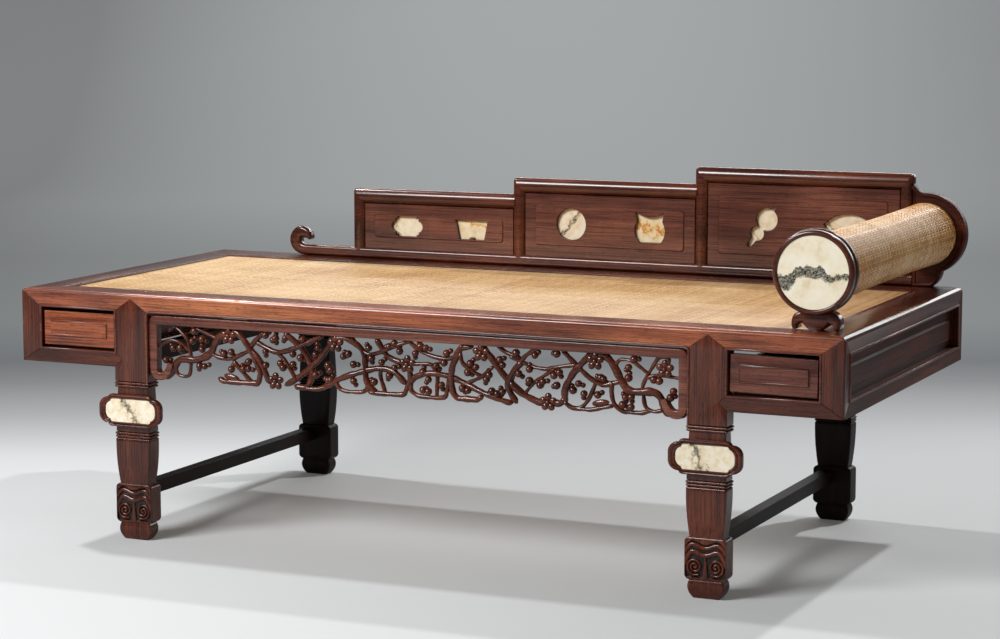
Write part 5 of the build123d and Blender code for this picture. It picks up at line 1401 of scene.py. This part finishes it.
rough_edge, grain, cloud = (
    add(disc, "TexNoise", {"Vector": local, "Scale": scale, "Detail": detail, "Roughness": roughness})
    for scale, detail, roughness in ((7.0, 6.0, 0.7), (16.0, 5.0, 0.75), (2.2, 4.0, 0.6))
)
spot = add(disc, "SeparateXYZ", (local,)).outputs
across = add(disc, "MapRange", (spot["X"], -1.0, 1.0, 0.0, 1.0))
up = add(disc, "MapRange", (spot["Z"], -1.0, 1.0, 0.0, 1.0))
wander = add(disc, "MapRange", (rough_edge, 0.3, 0.7, -0.035, 0.035))
shaken = add(disc, "Math", (up, wander), operation="ADD")
gaps = []
for line in (CREST, FOOT):
    curve = add(disc, "FloatCurve", {"Value": across})
    marks = curve.mapping.curves[0].points
    marks[0].location, marks[1].location = line[0], line[-1]
    for mark in line[1:-1]:
        marks.new(*mark)
    curve.mapping.update()
    gaps.append(add(disc, "Math", (curve, shaken), operation="SUBTRACT"))
below = add(disc, "MapRange", (gaps[0], -0.004, 0.012, 0.0, 1.0))
above = add(disc, "MapRange", (gaps[1], -0.03, 0.006, 1.0, 0.0))
band = add(disc, "Math", (below, above), operation="MULTIPLY")
speckled = add(disc, "MapRange", (grain, 0.42, 0.66, 1.0, 0.5))
ink = add(disc, "Math", (band, speckled), operation="MULTIPLY")
ground = add(disc, "ValToRGB", (cloud,), [(0.35, "#f7eedb"), (0.55, "#f2e6cb"), (0.7, "#e4d3b0")])
wire(disc, shader, {"Base Color": add(disc, "MixRGB", (ink, ground, linear("#1e221d")))})
reface("bolster_marble", disc)

# The cloud foot: a hanging lobe and two arms that curl out and down, their edges well rounded.
# Rows of x from its middle, z from the seat, and half width
LOBE = ((0, 30.0, 25), (0, 24, 28), (0, 18, 28), (0, 12, 25), (0, 7, 20), (0, 3.4, 15), (0, 0.9, 10))
ARM = (
    (8, 21, 11), (17, 24.5, 12), (27, 25.5, 12.5), (35.5, 21.5, 11), (40, 14, 8.5), (41, 7.5, 6),
    (39, 2.0, 4),
)
CLOUD_EDGE = 7.0
ARM_SETBACK = 0.4
foot_front, foot_back = (corner[1] for corner in box_mm("bolster_foot"))
lobe = np.array(LOBE) + (BOLSTER_X, SEAT, 0)
line = smooth_line(*lobe[:, :2].T, 1.2)
half = np.interp(-line[:, 1], -lobe[:, 1], lobe[:, 2])
shells = [(bar(line, half, foot_front, foot_back, CLOUD_EDGE, 6), False)]
for hand in (-1, 1):
    arm = np.array(ARM) * (hand, 1, 1) + (BOLSTER_X, SEAT, 0)
    line = smooth_line(*arm[:, :2].T, 1.5)
    front, back = foot_front + ARM_SETBACK, foot_back - ARM_SETBACK
    shells.append((bar(line, widths_along(line, arm), front, back, CLOUD_EDGE, 6), False))
mesh = shell_mesh("bolster_foot_carved", shells)
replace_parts(put(mesh, WOOD["russet", "x"], crease=50), "bolster_foot")

# The wing board: its edge is a raised half-round bead with the ground sunk inside it, given as
# (inset from the edge, y behind the front)
WING_EDGE = (
    (0.0, 24.0), (0.0, 5.0), (0.5, 2.6), (1.8, 0.9), (3.6, 0.05), (5.4, 0.1), (7.2, 0.8), (8.4, 2.0),
    (8.8, 3.2),
)
outline = anticlockwise(front_outlines("wing_board")[0])
rings = [level(moved_in(outline, inset), BACK_FRONT + y) for inset, y in WING_EDGE]
mesh = board_mesh("wing_board_beaded", [[rings[0]], [rings[-1]]], list(zip(rings, rings[1:])))
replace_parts(put(mesh, WOOD["dark", "x"], crease=50), "wing_board")


# ------------------------------------------------------------------ the sizes
low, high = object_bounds()
